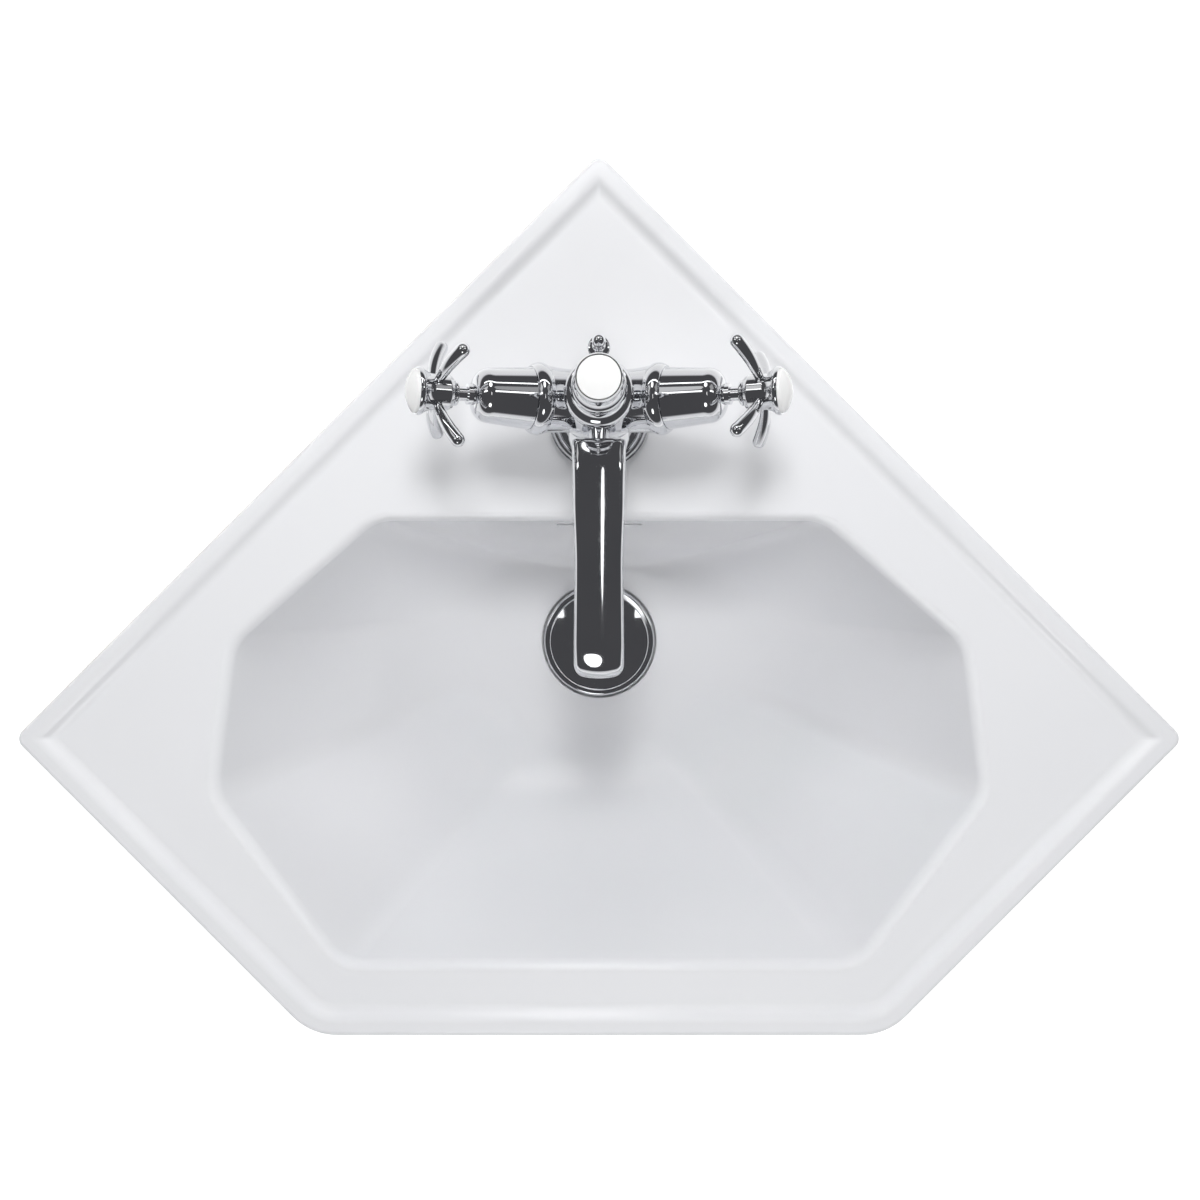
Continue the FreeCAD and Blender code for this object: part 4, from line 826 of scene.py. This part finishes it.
def drop_arm():
    """One drop-shaped arm of a handle, from the hub out and back towards the body."""
    inner = Vector((HUB_R / 2, HANDLE_ROOT, ROOT_R))
    outer = Vector((HANDLE_REACH, HANDLE_TIP, TIP_R))
    line = []
    for k in range(ARM_STATIONS + 1):
        share = k / ARM_STATIONS
        here = inner.lerp(outer, share)
        here.y += 4 * HANDLE_BOW * share * (1 - share)
        here.z = ROOT_R + (TIP_R - ROOT_R) * math.sin(share * math.pi / 2)
        line.append(here)
    tip = line[-1]
    away = (tip - line[-2]).xy.normalized()
    for k in range(1, 7):
        turn = math.radians(14 * k)
        spot = tip.xy + away * (math.sin(turn) * tip.z)
        line.append(Vector((spot.x, spot.y, tip.z * math.cos(turn))))
    rows = []
    for i, here in enumerate(line):
        ahead = (line[min(i + 1, len(line) - 1)] - line[max(i - 1, 0)]).xy.normalized()
        across = Vector((ahead.y, 0, -ahead.x))
        middle = Vector((here.x, 0, here.y))
        turns = [2 * math.pi * k / ARM_ROUND for k in range(ARM_ROUND)]
        rows.append([middle + (across * math.cos(t) + Y_AXIS * math.sin(t)) * here.z for t in turns])
    return skinned(rows)


def hub():
    return turned([
        (3.15, 67.5), (4.6, 67.5), (5.6, 68.4, 4.6, 69.3), (HUB_R - 0.8, 70.1), (HUB_R - 0.1, 71.7),
        (HUB_R, 78.5), (HUB_R + 0.8, 81.3, 10.2, 83.5), (5.9, 83.5), (5.9, 76.2), (3.15, 76.2),
        (3.15, 67.5)], 0.3)


def make_handle(water, side):
    handle = body(water + "_cross", along_arm(hub(), side))
    for i in range(HANDLE_ARMS):
        turn = Matrix.Rotation(math.radians(360 / HANDLE_ARMS * (i + 0.5) + ROLLS[water]), 4, "Z")
        carve(handle, along_arm(placed(drop_arm(), turn), side), "UNION")
    stand_for(handle, water + "_handle", crease=40)
    bezel = turned([
        (4.4, 79.9), (5.95, 79.9), (5.95, 83.5), (10.2, 83.5), (10.6, 84.7, 10.3, 85.9), (9.65, 85.9),
        (9.65, 84.7), (4.4, 84.7), (4.4, 79.9)], 0.25)
    stand_for(body(water + "_bezel", along_arm(bezel, side)), water + "_handle_bezel")
    disc = turned([(0, 84.7), (9.6, 84.7), (9.6, 87.1), (5.0, 89.62, 0, 90.5)], 0.35, 128)
    stand_for(body(water + "_disc", along_arm(disc, side)), water + "_index_disc")
    stand_for(body(water + "_cover", along_arm(shroud(), side)), water + "_shroud")


def make_lift_knob():
    knob = turned([
        (0, 93.7), (4.5, 93.7), (5.0, 94.8, 4.5, 95.9), (2.55, 97.1, 1.95, 99.9), (1.77, 104.14),
        (2.95, 106.5, 0, 109.45)], 0.2)
    knob = placed(knob, Matrix.Translation((0, ROD_BACK, 0)))
    stand_for(body("rod_knob", on_tap(knob)), "lift_knob")


def make_aerator():
    ring = turned([
        (6.6, 49), (9.6, 49), (10.1, 49.6), (10.1, 53), (8.45, 53), (8.45, 56.5), (7.4, 56.5),
        (7.4, 49.8), (6.6, 49.8), (6.6, 49)], 0.2)
    ring = placed(ring, Matrix.Translation((0, -OUTLET_REACH, 0)))
    stand_for(body("aerator_ring", on_tap(ring)), "aerator_housing")


def make_waste():
    seat = Matrix.Translation((0, -WASTE_BACK, SEAT_Z))
    tube = turned([
        (17.55, -63), (20.95, -63), (20.95, 1), (34.5, 1), (34.5, 1.8), (33.5, 3.0, 31.9, 3.4),
        (21.95, 3.4), (17.55, -1.0), (17.55, -63)], 0.3, 128)
    waste = body("waste_flange", placed(tube, seat))
    plan = ((-6, -25), (6, -25), (6, 25), (-6, 25))
    slot = skinned([[Vector((x, y, z)) for x, y in plan] for z in (-24, -10)])
    carve(waste, placed(slot, seat), "DIFFERENCE")
    stand_for(waste, "waste_body")
    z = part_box("plug_cap")[0].z / MM - SEAT_Z
    plug = turned([(0, z), (29.4, z), (30, z + 0.6), (30, z + 1.8), (29.5, z + 2.2),
                   (15.0, z + 4.46, 0, z + 5.2)], 0.3, 128)
    stand_for(body("plug_dome", placed(plug, seat)), "plug_cap")


make_mixer_body()
make_spout()
make_base_flange()
make_top_cap()
for name, hand in SIDES.items():
    make_handle(name, hand)
make_lift_knob()
make_aerator()
make_waste()


# ---------- the CAD nodes that show as they are ----------

def dress_nodes():
    for name, node in NODES.items():
        if node.hide_render:
            continue
        node.data.materials.clear()
        node.data.materials.append(MATERIALS[SLOT_OF[name]])


dress_nodes()


# ---------- studio ----------

FLOOR_Z = -0.85
FLOOR_GREY = 0.5
SHOWN_WHITE = 0.76
LIGHT_LEVEL = 0.23
LENS = 34.74
EYE = (0.0005, -0.227, 0.587)


def floor():
    size = 8.0
    plan = ((-size, -size), (size, -size), (size, size), (-size, size))
    mesh = bpy.data.meshes.new("floor")
    mesh.from_pydata([(x, y, FLOOR_Z) for x, y in plan], [], [(0, 1, 2, 3)])
    plane = bpy.data.objects.new("floor", mesh)
    bpy.context.scene.collection.objects.link(plane)
    material = bpy.data.materials.new("studio_floor")
    material.use_nodes = True
    tree = material.node_tree
    bsdf = tree.nodes["Principled BSDF"]
    bsdf.inputs["Base Color"].default_value = (FLOOR_GREY, FLOOR_GREY, FLOOR_GREY, 1)
    bsdf.inputs["Roughness"].default_value = 0.9
    bsdf.inputs["Specular IOR Level"].default_value = 0.0
    path = tree.nodes.new("ShaderNodeLightPath")
    seen = tree.nodes.new("ShaderNodeMath")
    seen.operation = "MAXIMUM"
    tree.links.new(path.outputs["Is Camera Ray"], seen.inputs[0])
    tree.links.new(path.outputs["Is Glossy Ray"], seen.inputs[1])
    lift = tree.nodes.new("ShaderNodeMath")
    lift.operation = "MULTIPLY"
    lift.inputs[1].default_value = SHOWN_WHITE
    tree.links.new(seen.outputs[0], lift.inputs[0])
    bsdf.inputs["Emission Color"].default_value = (1, 1, 1, 1)
    tree.links.new(lift.outputs[0], bsdf.inputs["Emission Strength"])
    mesh.materials.append(material)


def world():
    """Even light, white to the camera, and for reflections bright low down and dark overhead."""
    studio = bpy.data.worlds.new("studio")
    bpy.context.scene.world = studio
    studio.use_nodes = True
    tree = studio.node_tree
    tree.nodes.clear()
    out = tree.nodes.new("ShaderNodeOutputWorld")
    path = tree.nodes.new("ShaderNodeLightPath")
    place = tree.nodes.new("ShaderNodeTexCoord")
    split = tree.nodes.new("ShaderNodeSeparateXYZ")
    tree.links.new(place.outputs["Generated"], split.inputs[0])
    ramp = tree.nodes.new("ShaderNodeValToRGB")
    ramp.color_ramp.elements[0].position = 0.0
    ramp.color_ramp.elements[0].color = (0.82, 0.82, 0.84, 1)
    ramp.color_ramp.elements[1].position = 0.13
    ramp.color_ramp.elements[1].color = (0.07, 0.07, 0.075, 1)
    tree.links.new(split.outputs["Z"], ramp.inputs["Fac"])
    shades = []
    for colour, strength in (((0.97, 0.98, 1.0), LIGHT_LEVEL), (None, 1.0), ((1, 1, 1), 1.0)):
        node = tree.nodes.new("ShaderNodeBackground")
        node.inputs["Strength"].default_value = strength
        if colour:
            node.inputs["Color"].default_value = (*colour, 1)
        shades.append(node)
    tree.links.new(ramp.outputs["Color"], shades[1].inputs["Color"])
    last = shades[0]
    for ray, shade in (("Is Glossy Ray", shades[1]), ("Is Camera Ray", shades[2])):
        mix = tree.nodes.new("ShaderNodeMixShader")
        tree.links.new(path.outputs[ray], mix.inputs[0])
        tree.links.new(last.outputs[0], mix.inputs[1])
        tree.links.new(shade.outputs[0], mix.inputs[2])
        last = mix
    tree.links.new(last.outputs[0], out.inputs["Surface"])


def panel(name, spot, aim, width, height, radiance, glints=True, shape="RECTANGLE"):
    """Flat lamp: it gives either glints on shiny surfaces or plain light."""
    data = bpy.data.lights.new(name, "AREA")
    data.shape = shape
    data.size = width
    data.size_y = height
    data.energy = radiance * math.pi * width * height
    lamp = bpy.data.objects.new(name, data)
    lamp.location = spot
    lamp.rotation_mode = "QUATERNION"
    lamp.rotation_quaternion = (Vector(spot) - Vector(aim)).to_track_quat("Z", "Y")
    lamp.visible_camera = False
    lamp.visible_glossy = glints
    lamp.visible_diffuse = not glints
    bpy.context.scene.collection.objects.link(lamp)


def camera():
    """Straight down, as in the photograph: over the bowl, 587 mm above the rim."""
    data = bpy.data.cameras.new("camera")
    data.lens = LENS
    data.sensor_width = 36
    eye = bpy.data.objects.new("camera", data)
    eye.location = EYE
    bpy.context.scene.collection.objects.link(eye)
    bpy.context.scene.camera = eye


floor()
world()
# Name, place, aim, width, height and radiance, in metres.
panel("key", (0.0, 0.10, 0.88), (0, -0.2, 0), 0.2, 0.2, 33.0, False)
panel("front_fill", (0.12, -1.1, 0.85), (0, -0.2, 0), 1.4, 0.7, 1.7, False)
panel("back_fill", (-0.12, 1.05, 1.0), (0, -0.2, 0), 1.4, 0.7, 3.3, False)
panel("left_bar", (-0.8, 0.06, 1.10), (-0.8, -0.14, 0), 0.7, 0.12, 2.0)
panel("right_bar", (0.8, 0.06, 1.10), (0.8, -0.14, 0), 0.7, 0.12, 2.0)
panel("bar_back", (0.0, 0.80, 0.85), (0, -0.44, 0), 2.2, 0.1, 2.6)
panel("left_wing", (-0.76, 0.40, 1.10), (0, -0.14, 0.07), 0.5, 0.5, 0.6)
panel("right_wing", (0.76, 0.40, 1.10), (0, -0.14, 0.07), 0.5, 0.5, 0.3)
panel("front_glint", (-0.12, -1.02, 0.88), (0, -0.26, 0.07), 0.36, 0.36, 1.8, shape="ELLIPSE")
panel("back_glint", (-0.07, 0.50, 0.95), (0, -0.16, 0.07), 0.36, 0.36, 1.8, shape="ELLIPSE")
panel("top_line", (0.06, -0.14, 1.10), (0.06, -0.14, 0.0), 0.05, 0.26, 1.6, shape="ELLIPSE")
for across in (-1.15, 1.15):
    for deep in (-1.4, 0.9):
        panel("low_fill", (across, deep, -0.2), (0, -0.25, -0.1), 1.0, 0.5, 3.2, False)
camera()

bpy.context.scene.view_settings.view_transform = "Standard"
